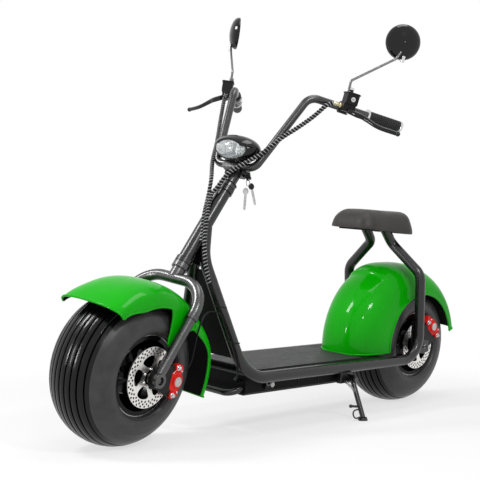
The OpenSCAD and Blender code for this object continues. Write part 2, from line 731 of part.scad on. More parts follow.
// Headlight: an oval bowl with a peak over a clear lens
light_c = bar_c + [-3, 0, 52];
light_r = 68;
light_form = [0.9, 1.15, 0.62];
lens_x = 36;
lens_t = 3;
bowl_t = 5;
peak_in = 16;
peak_out = 12;
peak_z = 12;
module light_oval(r) { translate(light_c) scale(light_form) sphere(r = r); }
module ahead(x, z) { translate(light_c + [x, -light_r * 2, z]) cube(light_r * 4); }
module headlight() {
    color("#141416") turned() difference() {
        union() {
            difference() {
                light_oval(light_r);
                ahead(lens_x, -light_r * 2);
            }
            difference() {
                intersection() {
                    light_oval(light_r + 4);
                    ahead(lens_x - peak_in, peak_z);
                }
                light_oval(light_r - 1);
                ahead(lens_x + peak_out, 0);
            }
        }
        intersection() {
            light_oval(light_r - bowl_t);
            ahead(0, -light_r * 2);
        }
        bar_tube();
        on_axis() clamp_block();
    }
}
module headlight_lens() {
    color("#dfe6ea") turned() difference() {
        intersection() {
            light_oval(light_r - 2);
            ahead(lens_x, -light_r * 2);
        }
        light_oval(light_r - 2 - lens_t);
    }
}

// Mirrors: a domed back on a bent arm, with a flat glass set in the other face
mirror_c = bar_l[2] + [59, 0, 261];
mirror_turn = 45;
mirror_n = [cos(mirror_turn), sin(mirror_turn), 0];
dome_h = 26;
arm_r = 4;
arm_b = perch_c + bar_f * 22 + [0, 0, -tank_top + 8];
arm_e = mirror_c + mirror_n * dome_h * 0.65;
module mirror_head() {
    translate(mirror_c) rotate([0, 0, mirror_turn]) rotate([0, 90, 0]) rotate_extrude() polygon(concat(
        [[0, -2], [mirror_r - 4, -2], [mirror_r - 4, -4], [mirror_r, -4]],
        [for (a = [0:15:90]) [mirror_r * cos(a), dome_h * sin(a)]]));
}
module mirror_arm() {
    difference() {
        bent([arm_b, arm_b + [-2, 2, 34], arm_e + [14, -14, -56], arm_e + [0, 0, -20]], [12, 14], arm_r);
        mirror_head();
        perch();
    }
}
module mirror_arm_left() { color("#c8c8cc") turned() mirror_arm(); }
module mirror_arm_right() { color("#c8c8cc") turned() other_side() mirror_arm(); }
module mirror_left() { color("#121213") turned() mirror_head(); }
module mirror_right() { color("#121213") turned() other_side() mirror_head(); }

// Key lock under the clamp
module key_lock() {
    color("#8a8a8e") turned_axis() difference() {
        translate([10, 0, clamp_s - 36]) rotate([0, 90, 0]) {
            cylinder(r = 11, h = 24);
            cylinder(r = 8, h = 27);
            cylinder(r = 4, h = 34);
        }
        translate([0, 0, head_s1]) cylinder(r = stem_r, h = stem_h * 2);
    }
}

// Side stand: a bracket with a pin under the left rail, and a leg with a foot and a tang
stand_p = [rear_x + 446, rail_y + 10, rail_z - 40];
stand_pin_r = 7;
stand_pin_len = 42;
ear_in = 12;
ear_len = 66;
ear_w = 16;
stand_hub_r = 14;
stand_hub_w = 22;
stand_leg_r = 8.5;
foot_r = 17;
foot_h = 10;
tang_r = 4;
tang_ball = 6;
stand_y0 = rail_y + 5;
stand_foot_y = rail_y + 78;
stand_foot = [stand_p.x + 8, stand_foot_y, ground_z(stand_foot_y)];
stand_top = [stand_p.x, stand_y0 + stand_hub_w / 2, stand_p.z];
tang_p = along(stand_foot, stand_top, 46);
tang_e = tang_p + [36, -8, 4];
module stand_bracket() {
    color("#2a2a2d") difference() {
        union() {
            translate([stand_p.x - 18, rail_y - ear_in, stand_p.z - stand_hub_r])
                cube([ear_len, ear_w, rail_z - stand_p.z + stand_hub_r]);
            translate([stand_p.x, rail_y - ear_in, stand_p.z]) sideways(1)
                cylinder(r = stand_pin_r, h = stand_pin_len);
        }
        rail(1);
    }
}
module stand_leg() {
    color("#3a3a3e") difference() {
        union() {
            translate([stand_p.x, stand_y0, stand_p.z]) sideways(1)
                cylinder(r = stand_hub_r, h = stand_hub_w);
            rod(stand_top, stand_foot + [0, 0, foot_h - cut_over], stand_leg_r);
            translate(stand_foot) rotate([lean, 0, 0])
                cylinder(r1 = foot_r, r2 = stand_hub_r, h = foot_h);
            rod(tang_p, tang_e, tang_r);
            translate(tang_e) sphere(r = tang_ball);
        }
        translate([stand_p.x, 0, stand_p.z]) sideways(1) cylinder(r = stand_pin_r + bore_gap, h = rail_y * 2);
    }
}

parked() rail_left();
parked() rail_right();
parked() head_tube();
parked() head_gusset();
parked() shield();
parked() foot_board();
parked() deck_mat();
parked() battery_box();
parked() charge_port();
parked() cross_tubes();
parked() belly_guard();
parked() axle_plates();
parked() rear_axle();
parked() rear_caliper();
parked() rear_brake_bracket();
parked() rear_fender();
parked() seat_pan();
parked() seat_cushion();
parked() stand_bracket();
parked() fork_crown();
parked() fork_leg_left();
parked() fork_leg_right();
parked() front_axle();
parked() front_caliper();
parked() front_brake_bracket();
parked() front_fender();
parked() stem();
parked() handlebar();
parked() grip_left();
parked() grip_right();
parked() perch_left();
parked() perch_right();
parked() lever_left();
parked() lever_right();
parked() headlight();
parked() headlight_lens();
parked() mirror_arm_left();
parked() mirror_arm_right();
parked() mirror_left();
parked() mirror_right();
parked() key_lock();
parked() front_tyre();
parked() front_rim();
parked() front_disc();
parked() rear_tyre();
parked() rear_rim();
parked() rear_disc();
parked() stand_leg();
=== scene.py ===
import math
import bmesh
import bpy
from mathutils import Matrix, Vector


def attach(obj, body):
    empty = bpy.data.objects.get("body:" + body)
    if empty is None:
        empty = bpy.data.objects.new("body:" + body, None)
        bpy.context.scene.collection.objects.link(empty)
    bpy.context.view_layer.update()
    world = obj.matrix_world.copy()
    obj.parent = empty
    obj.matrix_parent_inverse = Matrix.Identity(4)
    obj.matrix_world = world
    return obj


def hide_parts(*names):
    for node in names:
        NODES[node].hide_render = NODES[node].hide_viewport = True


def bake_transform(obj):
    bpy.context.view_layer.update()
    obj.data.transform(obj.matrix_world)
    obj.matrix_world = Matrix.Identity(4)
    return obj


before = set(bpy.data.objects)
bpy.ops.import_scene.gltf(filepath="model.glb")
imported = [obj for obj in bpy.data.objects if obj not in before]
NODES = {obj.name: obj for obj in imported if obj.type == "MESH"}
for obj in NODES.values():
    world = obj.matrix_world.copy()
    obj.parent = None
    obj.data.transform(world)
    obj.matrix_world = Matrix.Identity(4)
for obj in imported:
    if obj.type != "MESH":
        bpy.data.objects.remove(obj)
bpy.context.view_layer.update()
MM = 0.001

# Sizes in millimetres and angles in degrees, the same as in the part's source
FRONT_X, REAR_X = 662.0, -638.0
TYRE_R, TYRE_W = 225.0, 220.0
SHOULDER = 0.378 * TYRE_R
RAKE, TURN = 35.0, 9.4
LEAN, PARK_Y = 5.0, -80.0
FLANGE_R, FLANGE_T, RIM_HALF = 118.0, 5.0, 86.0
DISC_R, DISC_Y, DISC_T = 88.0, 111.0, 4.0
PAD_GAP, HALF_OUT = 5.0, 11.0
LEG_Y = TYRE_W / 2 + 28.0
CLAMP_S, BAR_AHEAD = 726.0, 18.0
BAR_R = 12.5
GRIP_R, GRIP_LEN = 17.0, 125.0
MIRROR_R = 56.0


# Places: matrices from the upright, straight scooter to where each group stands
def shift(x, y, z):
    return Matrix.Translation((x, y, z))


def turn(deg, axis):
    return Matrix.Rotation(math.radians(deg), 4, axis)


def park_lift():
    """How far the round shoulder lifts the wheel when the tyre leans."""
    lean = math.radians(LEAN)
    low = SHOULDER * math.cos(lean)
    return math.hypot(low, TYRE_W / 2 * math.sin(lean)) - low


PARK = shift(0, PARK_Y, park_lift()) @ turn(-LEAN, "X")
ON_AXIS = PARK @ shift(FRONT_X, 0, TYRE_R) @ turn(-RAKE, "Y")
TURNED_AXIS = ON_AXIS @ turn(TURN, "Z")
TURNED = TURNED_AXIS @ turn(RAKE, "Y") @ shift(-FRONT_X, 0, -TYRE_R)
FRONT_WHEEL = TURNED @ shift(FRONT_X, 0, TYRE_R) @ turn(-90, "X")
REAR_WHEEL = PARK @ shift(REAR_X, 0, TYRE_R) @ turn(-90, "X")
FLIP = Matrix.Scale(-1, 4, (0, 1, 0))


def axis_point(s, n=0.0):
    """A point s along the steering axis from the front axle and n ahead of it."""
    c, d = math.cos(math.radians(RAKE)), math.sin(math.radians(RAKE))
    return Vector((FRONT_X - s * d + n * c, 0, TYRE_R + s * c + n * d))


def aim(p, d):
    """Puts a piece at p with its Z along d."""
    z = Vector(d).normalized()
    x = z.orthogonal().normalized()
    return Matrix.Translation(Vector(p)) @ Matrix((x, z.cross(x), z)).transposed().to_4x4()


def on_side(s, y):
    """Lays a flat piece on the wall at s * y: its y goes up and its z goes out."""
    return Matrix(((1, 0, 0, 0), (0, 0, s, s * y), (0, 1, 0, 0), (0, 0, 0, 1)))


def place_all(m, points):
    return [m @ Vector(v) for v in points]


# Curves and outlines
def ramp(a, a0, a1):
    """Smooth step from 0 at a0 to 1 at a1."""
    t = min(1.0, max(0.0, (a - a0) / (a1 - a0)))
    return t * t * (3 - 2 * t)


def spread(a, b, n):
    """The ends of n even steps from a to b."""
    return [a + i * (b - a) / n for i in range(n + 1)]


def circle(r, n, x=0.0, y=0.0, ry=None):
    """Points (x, y) round a circle, or round an ellipse where ry is given."""
    ry = r if ry is None else ry
    return [(x + r * math.cos(math.tau * i / n), y + ry * math.sin(math.tau * i / n)) for i in range(n)]


def hoop(n):
    """Points (x, y) round a unit circle, the first one again at the end."""
    ring = circle(1.0, n)
    return ring + ring[:1]


def rect(x0, x1, y0, y1):
    return [(x0, y0), (x1, y0), (x1, y1), (x0, y1)]


def rounded(loop):
    """Cuts the corners of a closed outline twice."""
    for _ in range(2):
        loop = [a.lerp(b, k) for a, b in zip(loop, loop[1:] + loop[:1]) for k in (0.25, 0.75)]
    return loop


def curve(points, step=6.0):
    """Smooth curve through the points, in steps of about the given length."""
    pts = [Vector(p) for p in points]
    pts = [pts[0] * 2 - pts[1]] + pts + [pts[-1] * 2 - pts[-2]]
    out = []
    for i in range(1, len(pts) - 2):
        p0, p1, p2, p3 = pts[i - 1:i + 3]
        n = max(2, int((p2 - p1).length / step))
        for k in range(n):
            t = k / n
            out.append(0.5 * ((2 * p1) + (p2 - p0) * t + (2 * p0 - 5 * p1 + 4 * p2 - p3) * t * t
                              + (3 * p1 - p0 - 3 * p2 + p3) * t ** 3))
    out.append(pts[-2])
    return out


def direction(pts, i):
    return (pts[min(i + 1, len(pts) - 1)] - pts[max(i - 1, 0)]).normalized()


# Mesh building blocks: each gives points in millimetres and faces
ON_CENTRE = 1e-6


def revolve(profile, n, loop=False):
    """A profile of (radius, height) turned round Z; loop joins its last point to its first."""
    verts, faces, rings = [], [], []
    for r, z in profile:
        if r < ON_CENTRE:
            rings.append([len(verts)])
            verts.append((0, 0, z))
        else:
            rings.append(range(len(verts), len(verts) + n))
            verts += [(x, y, z) for x, y in circle(r, n)]
    pairs = list(zip(rings, rings[1:])) + ([(rings[-1], rings[0])] if loop else [])
    for a, b in pairs:
        for i in range(n):
            j = (i + 1) % n
            quad = [a[i % len(a)], a[j % len(a)], b[j % len(b)], b[i % len(b)]]
            face = list(dict.fromkeys(quad))
            if len(face) > 2:
                faces.append(face)
    return verts, faces


def loft(rings, caps=True):
    """A skin over rings of equal length."""
    n = len(rings[0])
    verts = [p for ring in rings for p in ring]
    faces = [[k * n + i, k * n + (i + 1) % n, (k + 1) * n + (i + 1) % n, (k + 1) * n + i]
             for k in range(len(rings) - 1) for i in range(n)]
    if caps:
        faces.append(list(range(n)))
        faces.append(list(range((len(rings) - 1) * n, len(rings) * n)))
    return verts, faces


def tube(path, radius, n, wave=None):
    """A round tube along a path; wave(run, angle) adds to its radius."""
    pts = [Vector(p) for p in path]
    side = direction(pts, 0).orthogonal().normalized()
    rings, run = [], 0.0
    for i, p in enumerate(pts):
        d = direction(pts, i)
        if i:
            run += (p - pts[i - 1]).length
            side = (side - d * side.dot(d)).normalized()
        other = d.cross(side)
        ring = []
        for k in range(n):
            a = math.tau * k / n
            r = radius + (wave(run, a) if wave else 0.0)
            ring.append(p + side * (r * math.cos(a)) + other * (r * math.sin(a)))
        rings.append(ring)
    return loft(rings)


def strand(path, radius, pitch, thick):
    """A thin round strand wound along a path."""
    pts = [Vector(p) for p in path]
    side, run, out = None, 0.0, []
    for i, p in enumerate(pts):
        d = direction(pts, i)
        side = (side - d * side.dot(d)).normalized() if side else d.orthogonal().normalized()
        run += (p - pts[i - 1]).length if i else 0.0
        a = run * math.tau / pitch
        out.append(p + (side * math.cos(a) + d.cross(side) * math.sin(a)) * radius)
    return tube(out, thick, 6)


def slab(outline, z0, z1, edge):
    """A flat plate whose edges are bevelled towards its middle."""
    cx = sum(p[0] for p in outline) / len(outline)
    cy = sum(p[1] for p in outline) / len(outline)

    def inset(d):
        out = []
        for x, y in outline:
            v = Vector((x - cx, y - cy))
            v = v * max(0.0, 1 - d / max(v.length, d))
            out.append((cx + v.x, cy + v.y))
        return out
    levels = [(z0, edge), (z0 + edge, 0.0), (z1 - edge, 0.0), (z1, edge)]
    return loft([[(x, y, z) for x, y in inset(d)] for z, d in levels])


def screw(r, h):
    """A round head with a socket."""
    return revolve([(0, 0), (r, 0), (r, h * 0.75), (r * 0.82, h), (r * 0.45, h), (r * 0.4, h * 0.55),
                    (0, h * 0.55)], 24)


def hexnut(r, h):
    return revolve([(0, 0), (r * 0.94, 0), (r, h * 0.12), (r, h * 0.86), (r * 0.9, h), (0, h)], 6)


def washer(r, h, n):
    return revolve([(0, 0), (r, 0), (r, h), (0, h)], n)


def band(inner, outer, proud, h, n):
    """A ring round a tube, a little proud in its middle."""
    return revolve([(inner, 0), (outer, 0), (outer + proud, h / 2), (outer, h), (inner, h)], n, loop=True)


def hook_post(h):
    """A pin with a wider head that holds an end of a spring."""
    return revolve([(0, 0), (4, 0), (4, h - 5), (6, h - 3), (6, h), (0, h)], 18)


class Piece:
    """Collects faces in millimetres and becomes one object in metres that rides on a body."""

    def __init__(self, name, body, *keys):
        self.name, self.body, self.keys = name, body, keys
        self.verts, self.faces, self.index = [], [], []

    def add(self, part, key, at=None):
        """Adds points and faces in one of the piece's materials, moved by a matrix."""
        verts, faces = part
        base = len(self.verts)
        self.verts += [at @ Vector(v) if at else Vector(v) for v in verts]
        self.faces += [[base + i for i in face] for face in faces]
        self.index += [self.keys.index(key)] * len(faces)
        return self

    def recolour(self, faces, key):
        for face in faces:
            self.index[face] = self.keys.index(key)

    def build(self, *nodes, sharp, slot):
        """Makes the object, in place of any solids named; edges above the angle sharp stay hard."""
        mesh = bpy.data.meshes.new(self.name)
        mesh.from_pydata([v * MM for v in self.verts], [], self.faces)
        for key in self.keys:
            mesh.materials.append(MATERIALS[key])
        mesh.polygons.foreach_set("material_index", self.index)
        bm = bmesh.new()
        bm.from_mesh(mesh)
        bmesh.ops.recalc_face_normals(bm, faces=bm.faces)
        bm.to_mesh(mesh)
        bm.free()
        mesh.shade_smooth()
        mesh.set_sharp_from_angle(angle=math.radians(sharp))
        obj = bpy.data.objects.new(self.name, mesh)
        bpy.context.scene.collection.objects.link(obj)
        if self.body:
            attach(obj, self.body)
        if nodes:
            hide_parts(*nodes)
        return obj


# Materials: clouds of colour and roughness, with a fine bump where a surface has a grain
CLOUD_LOW, CLOUD_HIGH = 0.3, 0.7
SMOOTHEST, COAT_ROUGH = 0.02, 0.05


def set_inputs(tree, node, inputs):
    """Links the inputs that are given a socket and stores the others."""
    for key, value in inputs.items():
        if isinstance(value, bpy.types.NodeSocket):
            tree.links.new(value, node.inputs[key])
        else:
            node.inputs[key].default_value = value


def add_node(tree, kind, inputs=None, **settings):
    node = tree.nodes.new("ShaderNode" + kind)
    for key, value in settings.items():
        setattr(node, key, value)
    set_inputs(tree, node, inputs or {})
    return node


def object_coord(tree):
    return add_node(tree, "TexCoord").outputs["Object"]


def material(name, colour, rough, metal=0.0, coat=0.0, spec=0.5, vary=0.15, grain=40.0, rough_vary=0.06,
             bump=0.0, bump_grain=900.0):
    """vary is a share of the colour, rough_vary a step of roughness and bump a height in millimetres."""
    mat = bpy.data.materials.new(name)
    mat.use_nodes = True
    tree = mat.node_tree
    coord = object_coord(tree)
    cloud = add_node(tree, "TexNoise", {"Vector": coord, "Scale": grain, "Detail": 5.0}).outputs["Fac"]
    shade = add_node(tree, "ValToRGB", {"Fac": cloud})
    for stop, at, change in zip(shade.color_ramp.elements, (CLOUD_LOW, CLOUD_HIGH), (-vary, vary)):
        stop.position = at
        stop.color = [min(1, c * (1 + change)) for c in colour] + [1]
    level = add_node(tree, "MapRange", {
        "Value": cloud, "From Min": CLOUD_LOW, "From Max": CLOUD_HIGH,
        "To Min": max(SMOOTHEST, rough - rough_vary), "To Max": min(1.0, rough + rough_vary)})
    set_inputs(tree, tree.nodes["Principled BSDF"], {
        "Base Color": shade.outputs["Color"], "Roughness": level.outputs["Result"], "Metallic": metal,
        "Specular IOR Level": spec, "Coat Weight": coat, "Coat Roughness": COAT_ROUGH})
    if bump:
        fine = add_node(tree, "TexNoise", {"Vector": coord, "Scale": bump_grain, "Detail": 3.0})
        raise_it(mat, fine.outputs["Fac"], bump)
    return mat


def raise_it(mat, height, millimetres):
    """Adds a bump on top of the one that the material may have."""
    tree = mat.node_tree
    normal = tree.nodes["Principled BSDF"].inputs["Normal"]
    node = add_node(tree, "Bump", {"Height": height, "Strength": 1.0, "Distance": millimetres * MM})
    if normal.is_linked:
        tree.links.new(normal.links[0].from_socket, node.inputs["Normal"])
    tree.links.new(node.outputs["Normal"], normal)


def crossed_ribs(mat, turns, scale, millimetres):
    tree = mat.node_tree
    coord = object_coord(tree)
    waves = {}
    for i, deg in enumerate(turns):
        turned = add_node(tree, "Mapping", {"Vector": coord, "Rotation": (0, 0, math.radians(deg))})
        wave = add_node(tree, "TexWave", {"Vector": turned.outputs["Vector"], "Scale": scale})
        waves[i] = wave.outputs["Fac"]
    both = add_node(tree, "Math", waves, operation="MULTIPLY")
    raise_it(mat, both.outputs["Value"], millimetres)


def cells(mat, scale, millimetres):
    tree = mat.node_tree
    cell = add_node(tree, "TexVoronoi", {"Vector": object_coord(tree), "Scale": scale})
    raise_it(mat, cell.outputs["Distance"], millimetres)


SATIN = {"bump": 0.02, "bump_grain": 1500}
MATERIALS = {
    "green": material("green_gloss", (0.003, 0.385, 0.0015), 0.3, coat=0.26, spec=0.03, vary=0.05, grain=9,
                      rough_vary=0.03),
    "inside": material("guard_inside", (0.006, 0.006, 0.006), 0.65, spec=0.1, vary=0.25, bump=0.15,
                       bump_grain=500),
    "frame": material("satin_charcoal", (0.004, 0.004, 0.0042), 0.27, spec=0.55, vary=0.2, **SATIN),
    "fork": material("satin_grey", (0.014, 0.014, 0.0145), 0.27, spec=1.0, **SATIN),
    "bar": material("bar_black", (0.004, 0.004, 0.0042), 0.27, spec=0.8, vary=0.2, **SATIN),
    "panel": material("panel_black", (0.004, 0.004, 0.0042), 0.45, spec=0.08, vary=0.2, bump=0.06,
                      bump_grain=700),
    "plastic": material("moulded_black", (0.005, 0.005, 0.0052), 0.4, spec=0.18, vary=0.2, bump=0.06,
                        bump_grain=1100),
    "gloss": material("gloss_black", (0.002, 0.002, 0.0021), 0.07, spec=0.34, vary=0.2, rough_vary=0.02),
    "rim": material("rim_black", (0.002, 0.002, 0.0021), 0.16, spec=0.14, vary=0.2, rough_vary=0.05),
    "mat": material("deck_mat", (0.02, 0.02, 0.021), 0.55, spec=0.3, vary=0.2, grain=25),
    "red": material("caliper_red", (0.72, 0.018, 0.014), 0.34, spec=0.1, coat=0.06, vary=0.12, bump=0.06,
                    bump_grain=800),
    "disc": material("disc_steel", (0.82, 0.8, 0.775), 0.36, metal=1.0, vary=0.08, grain=120, rough_vary=0.1),
    "steel": material("plated_steel", (0.42, 0.42, 0.42), 0.3, metal=1.0, grain=90, rough_vary=0.1),
    "chrome": material("chrome", (0.66, 0.66, 0.67), 0.12, metal=1.0, vary=0.05, rough_vary=0.05),
    "dark": material("blackened_steel", (0.1, 0.1, 0.102), 0.28, metal=1.0, vary=0.2, grain=90,
                     rough_vary=0.08),
    "arm": material("mirror_arm_steel", (0.2, 0.2, 0.205), 0.2, metal=1.0, vary=0.1, grain=90),
    "brass": material("passivated_fitting", (0.5, 0.45, 0.28), 0.35, metal=1.0, vary=0.2, grain=120),
    "pale": material("bare_alloy_cap", (0.5, 0.49, 0.47), 0.4, metal=0.5, vary=0.12, bump=0.04),
    "tread": material("tyre_tread", (0.003, 0.003, 0.0031), 0.2, spec=0.24, vary=0.25, grain=60,
                      rough_vary=0.08, bump=0.08, bump_grain=600),
    "wall": material("tyre_wall", (0.03, 0.03, 0.0304), 0.4, spec=0.4, vary=0.3, grain=30, bump=0.1,
                     bump_grain=420),
    "leather": material("seat_cover", (0.028, 0.0242, 0.022), 0.48, spec=0.35, vary=0.25, grain=22,
                        rough_vary=0.1, bump=0.05, bump_grain=1400),
    "rubber": material("grip_rubber", (0.022, 0.022, 0.022), 0.5, spec=0.25, vary=0.3, bump=0.1,
                       bump_grain=700),
    "loom": material("loom_wrap", (0.003, 0.003, 0.003), 0.35, spec=0.15, vary=0.3, bump=0.05),
    # The wound strand's grey is partly its own colour and partly stands in for the wrap's glints: painted
    # highlight
    "pale_strand_highlight": material("wound_strand_painted_highlight", (0.34, 0.34, 0.345), 0.3, vary=0.3, bump=0.04),
    "glass": material("lens_clear", (0.96, 0.98, 1.0), 0.04, vary=0.02, rough_vary=0.02),
    "mirror": material("mirror_glass", (0.8, 0.82, 0.83), 0.03, metal=1.0, vary=0.02, rough_vary=0.01),
    # Lamp white: the bulbs' own colour, also put on the side bars to lighten the lamp's inside as painted
    # reflection
    "bulb": material("lamp_white_painted_reflection", (0.75, 0.75, 0.74), 0.3, vary=0.05),
    "reflector": material("lamp_silver", (0.85, 0.86, 0.88), 0.2, metal=0.8, vary=0.06, grain=200,
                          rough_vary=0.08),
}
set_inputs(MATERIALS["glass"].node_tree, MATERIALS["glass"].node_tree.nodes["Principled BSDF"],
           {"Transmission Weight": 0.85, "IOR": 1.45})
crossed_ribs(MATERIALS["mat"], (45, -45), 60, 0.9)
cells(MATERIALS["leather"], 420, 0.12)
cells(MATERIALS["rubber"], 500, 0.1)

# The solids that show as they are, by material
PAINT = {
    "frame": ["rail_left", "rail_right", "head_tube", "head_gusset", "cross_tubes", "belly_guard",
              "axle_plates", "stand_bracket", "stand_leg"],
    "fork": ["fork_crown", "fork_leg_left", "fork_leg_right"],
    "bar": ["handlebar", "stem"],
    "panel": ["shield", "foot_board", "battery_box"],
    "plastic": ["charge_port", "seat_pan", "perch_left", "perch_right", "key_lock", "front_brake_bracket",
                "rear_brake_bracket"],
    "mat": ["deck_mat"],
    "red": ["front_caliper", "rear_caliper"],
    "steel": ["front_axle", "rear_axle"],
    "rim": ["front_rim", "rear_rim"],
    "arm": ["mirror_arm_left", "mirror_arm_right"],
    "gloss": ["headlight", "mirror_left", "mirror_right"],
    "glass": ["headlight_lens"],
}
SOLID_SHARP = 32


def paint(node, key):
    mesh = NODES[node].data
    mesh.materials.clear()
    mesh.materials.append(MATERIALS[key])
    mesh.shade_smooth()
    mesh.set_sharp_from_angle(angle=math.radians(SOLID_SHARP))


for paint_key, painted in PAINT.items():
    for painted_node in painted:
        paint(painted_node, paint_key)


# Tyres: seven ribs, round shoulders, ringed side walls
TYRE_STEPS, CROWN_R = 144, TYRE_R - SHOULDER
BEAD_R, BEAD_Y = FLANGE_R + 0.5, RIM_HALF + FLANGE_T + 1
WALL_STEPS, WALL_RINGS, WALL_RING_H = 16, (4, 5, 9, 12), 0.9
SHOULDER_STEPS, SHOULDER_LINES, SHOULDER_LINE_DEEP = 12, (3, 6), 1.2
RIBS, TREAD_ANGLE = 7, 38.0
RIB_EDGE, RIB_EDGE_DROP = 0.06, 0.5
GROOVE_HALF = 2.6
INNER_GROOVE = {"lip": 0.6, "deep": 6.0, "floor": 1.7}
OUTER_GROOVE = {"lip": 0.0, "deep": 5.0, "floor": 1.4}


def crown(y):
    """Radius of the round tread at y from the middle of the tyre."""
    return CROWN_R + SHOULDER * math.sqrt(max(0.0, 1 - (2 * y / TYRE_W) ** 2))


def groove(y, lip, deep, floor):
    return [(crown(y + GROOVE_HALF) - lip, y + GROOVE_HALF), (crown(y) - deep, y + floor),
            (crown(y) - deep, y - floor), (crown(y - GROOVE_HALF) - lip, y - GROOVE_HALF)]


def tyre_wall():
    """One side of the profile, from the bead to the edge of the tread."""
    wall = [(FLANGE_R - 10, RIM_HALF - 1), (BEAD_R, RIM_HALF), (BEAD_R, BEAD_Y)]
    for k in range(1, WALL_STEPS + 1):
        a = math.radians(90 - 90 * k / WALL_STEPS)
        y = BEAD_Y + (TYRE_W / 2 - BEAD_Y) * math.cos(a) + (WALL_RING_H if k in WALL_RINGS else 0.0)
        wall.append((CROWN_R + (BEAD_R - CROWN_R) * math.sin(a), y))
    for k in range(1, SHOULDER_STEPS):
        a = math.radians(90 - (90 - TREAD_ANGLE) * k / SHOULDER_STEPS)
        y = TYRE_W / 2 * math.sin(a) - (SHOULDER_LINE_DEEP if k in SHOULDER_LINES else 0.0)
        wall.append((CROWN_R + SHOULDER * math.cos(a), y))
    return wall


def tyre_tread():
    half = TYRE_W / 2 * math.sin(math.radians(TREAD_ANGLE))
    pitch = 2 * half / RIBS
    tread = groove(half, **OUTER_GROOVE)
    for i in range(RIBS):
        top = half - i * pitch - GROOVE_HALF
        for t in (RIB_EDGE, 0.3, 0.5, 0.7, 1 - RIB_EDGE):
            y = top - t * (pitch - 2 * GROOVE_HALF)
            tread.append((crown(y) - (RIB_EDGE_DROP if t in (RIB_EDGE, 1 - RIB_EDGE) else 0.0), y))
        tread += groove(half - (i + 1) * pitch, **(INNER_GROOVE if i < RIBS - 1 else OUTER_GROOVE))
    return tread


def tyre(name, body, node, at):
    right, tread = tyre_wall(), tyre_tread()
    left = [(r, -y) for r, y in reversed(right)]
    p = Piece(name, body, "wall", "tread")
    p.add(revolve(right + tread + left, TYRE_STEPS, loop=True), "wall", at)
    first, last = len(right) - 2, len(right) + len(tread) + 1
    p.recolour(range(first * TYRE_STEPS, last * TYRE_STEPS), "tread")
    p.build(node, sharp=28, slot="tyre")


tyre("tyre_front", "front_wheel", "front_tyre", FRONT_WHEEL)
tyre("tyre_rear", "rear_wheel", "rear_tyre", REAR_WHEEL)


# Mudguards: sections swept round the axle, green outside and black inside, with a rolled edge
GUARD_T, GUARD_EDGE_R = 4, 3.4
FRONT_GUARD_HALF, REAR_GUARD_HALF = TYRE_W / 2 + 9.5, TYRE_W / 2 + 14
FRONT_FROM, FRONT_TO = 52, 199.6
FRONT_BASE_R, FRONT_TOP_R, TONGUE_LEN = TYRE_R - 20, TYRE_R + 36, 96
REAR_LOW_R, REAR_BASE_R, REAR_TOP_R, REAR_CLOSER = 191, 205, 296, 45
DECK_TOP, REAR_REACH = 202, 347
REAR_FROM, REAR_TO = math.degrees(math.asin((DECK_TOP - TYRE_R) / REAR_REACH)), 166


def guard_section(half, low, base, top, power, flare, n=40):
    """Points (across, radius) of an arch on two short sides; power sets how square it is."""
    pts = [(-half - flare, low), (-half - flare * 0.35, (low + base) / 2)]
    for i in range(n + 1):
        y = -half * math.cos(math.pi * i / n)
        pts.append((y, base + (top - base) * max(0.0, 1 - (abs(y) / half) ** power) ** (1 / power)))
    return pts + [(half + flare * 0.35, (low + base) / 2), (half + flare, low)]


def front_section(a, t):
    """Shallow at the tip, with a tongue beside each fork leg and a squarer tail."""
    tip = 1 - ramp(a, FRONT_FROM, 76)
    tongue = ramp(a, 104, 120) * (1 - ramp(a, 126, 142))
    tail = ramp(a, 130, 185)
    base = FRONT_BASE_R + 44 * ramp(a, 138, 172) + 24 * tip
    low = base - 3 - TONGUE_LEN * tongue
    return guard_section(FRONT_GUARD_HALF - t, low, base, FRONT_TOP_R + 10 * tail - t, 2.5 + 1.5 * tail, 0.0)


def rear_section(a, t):
    """Closer to the tyre towards the tail, with a fold across the top at the front."""
    top = REAR_TOP_R + REAR_CLOSER * math.cos(math.radians(a)) + 3 * (1 - ramp(a, 66, 80))
    rise = 7 * ramp(a, 52.5, 54.5) * (1 - ramp(a, 58, 78))
    dip = 2.5 * ramp(a, 40, 52) * (1 - ramp(a, 52, 54.5))
    pts = guard_section(REAR_GUARD_HALF - t, REAR_LOW_R, REAR_BASE_R, top - t, 2.3, 3.0)
    return [(y, r + (rise - dip) * (1 - ramp(abs(y), 55, 118))) for y, r in pts]


def guard(name, body, node, at, angles, section):
    p = Piece(name, body, "green", "inside")
    rings = []
    for a in angles:
        ca, sa = math.cos(math.radians(a)), math.sin(math.radians(a))
        rings.append([(r * ca, y, r * sa) for y, r in section(a, 0.0) + section(a, GUARD_T)[::-1]])
    p.add(loft(rings), "green", at)
    n = len(rings[0])
    m = n // 2
    p.recolour([k * n + i for k in range(len(rings) - 1) for i in range(m, n - 1)], "inside")
    for edge in ([r[0] for r in rings], [r[m - 1] for r in rings], rings[0][:m], rings[-1][:m]):
        p.add(tube(edge, GUARD_EDGE_R, 10), "green", at)
    p.build(node, sharp=40, slot="green_shell")


guard("mudguard_front", "steering", "front_fender", TURNED @ shift(FRONT_X, 0, TYRE_R),
      spread(FRONT_FROM, FRONT_TO, 96), front_section)
guard("mudguard_rear", "frame", "rear_fender", PARK @ shift(REAR_X, 0, TYRE_R),
      spread(REAR_FROM, REAR_TO, 140), rear_section)


# Seat: a moulded saddle with a crowned top and a skirt over its pan
SEAT_X, SEAT_Z, SEAT_TILT = REAR_X + 185, 649.0, -3.5
SEAT_LEN, SEAT_WID, SEAT_NOSE, SEAT_ROUND = 270.0, 215.0, 184.0, 50.0
WAIST_X, WAIST_SPREAD, WAIST_IN = 12, 55, 4.0
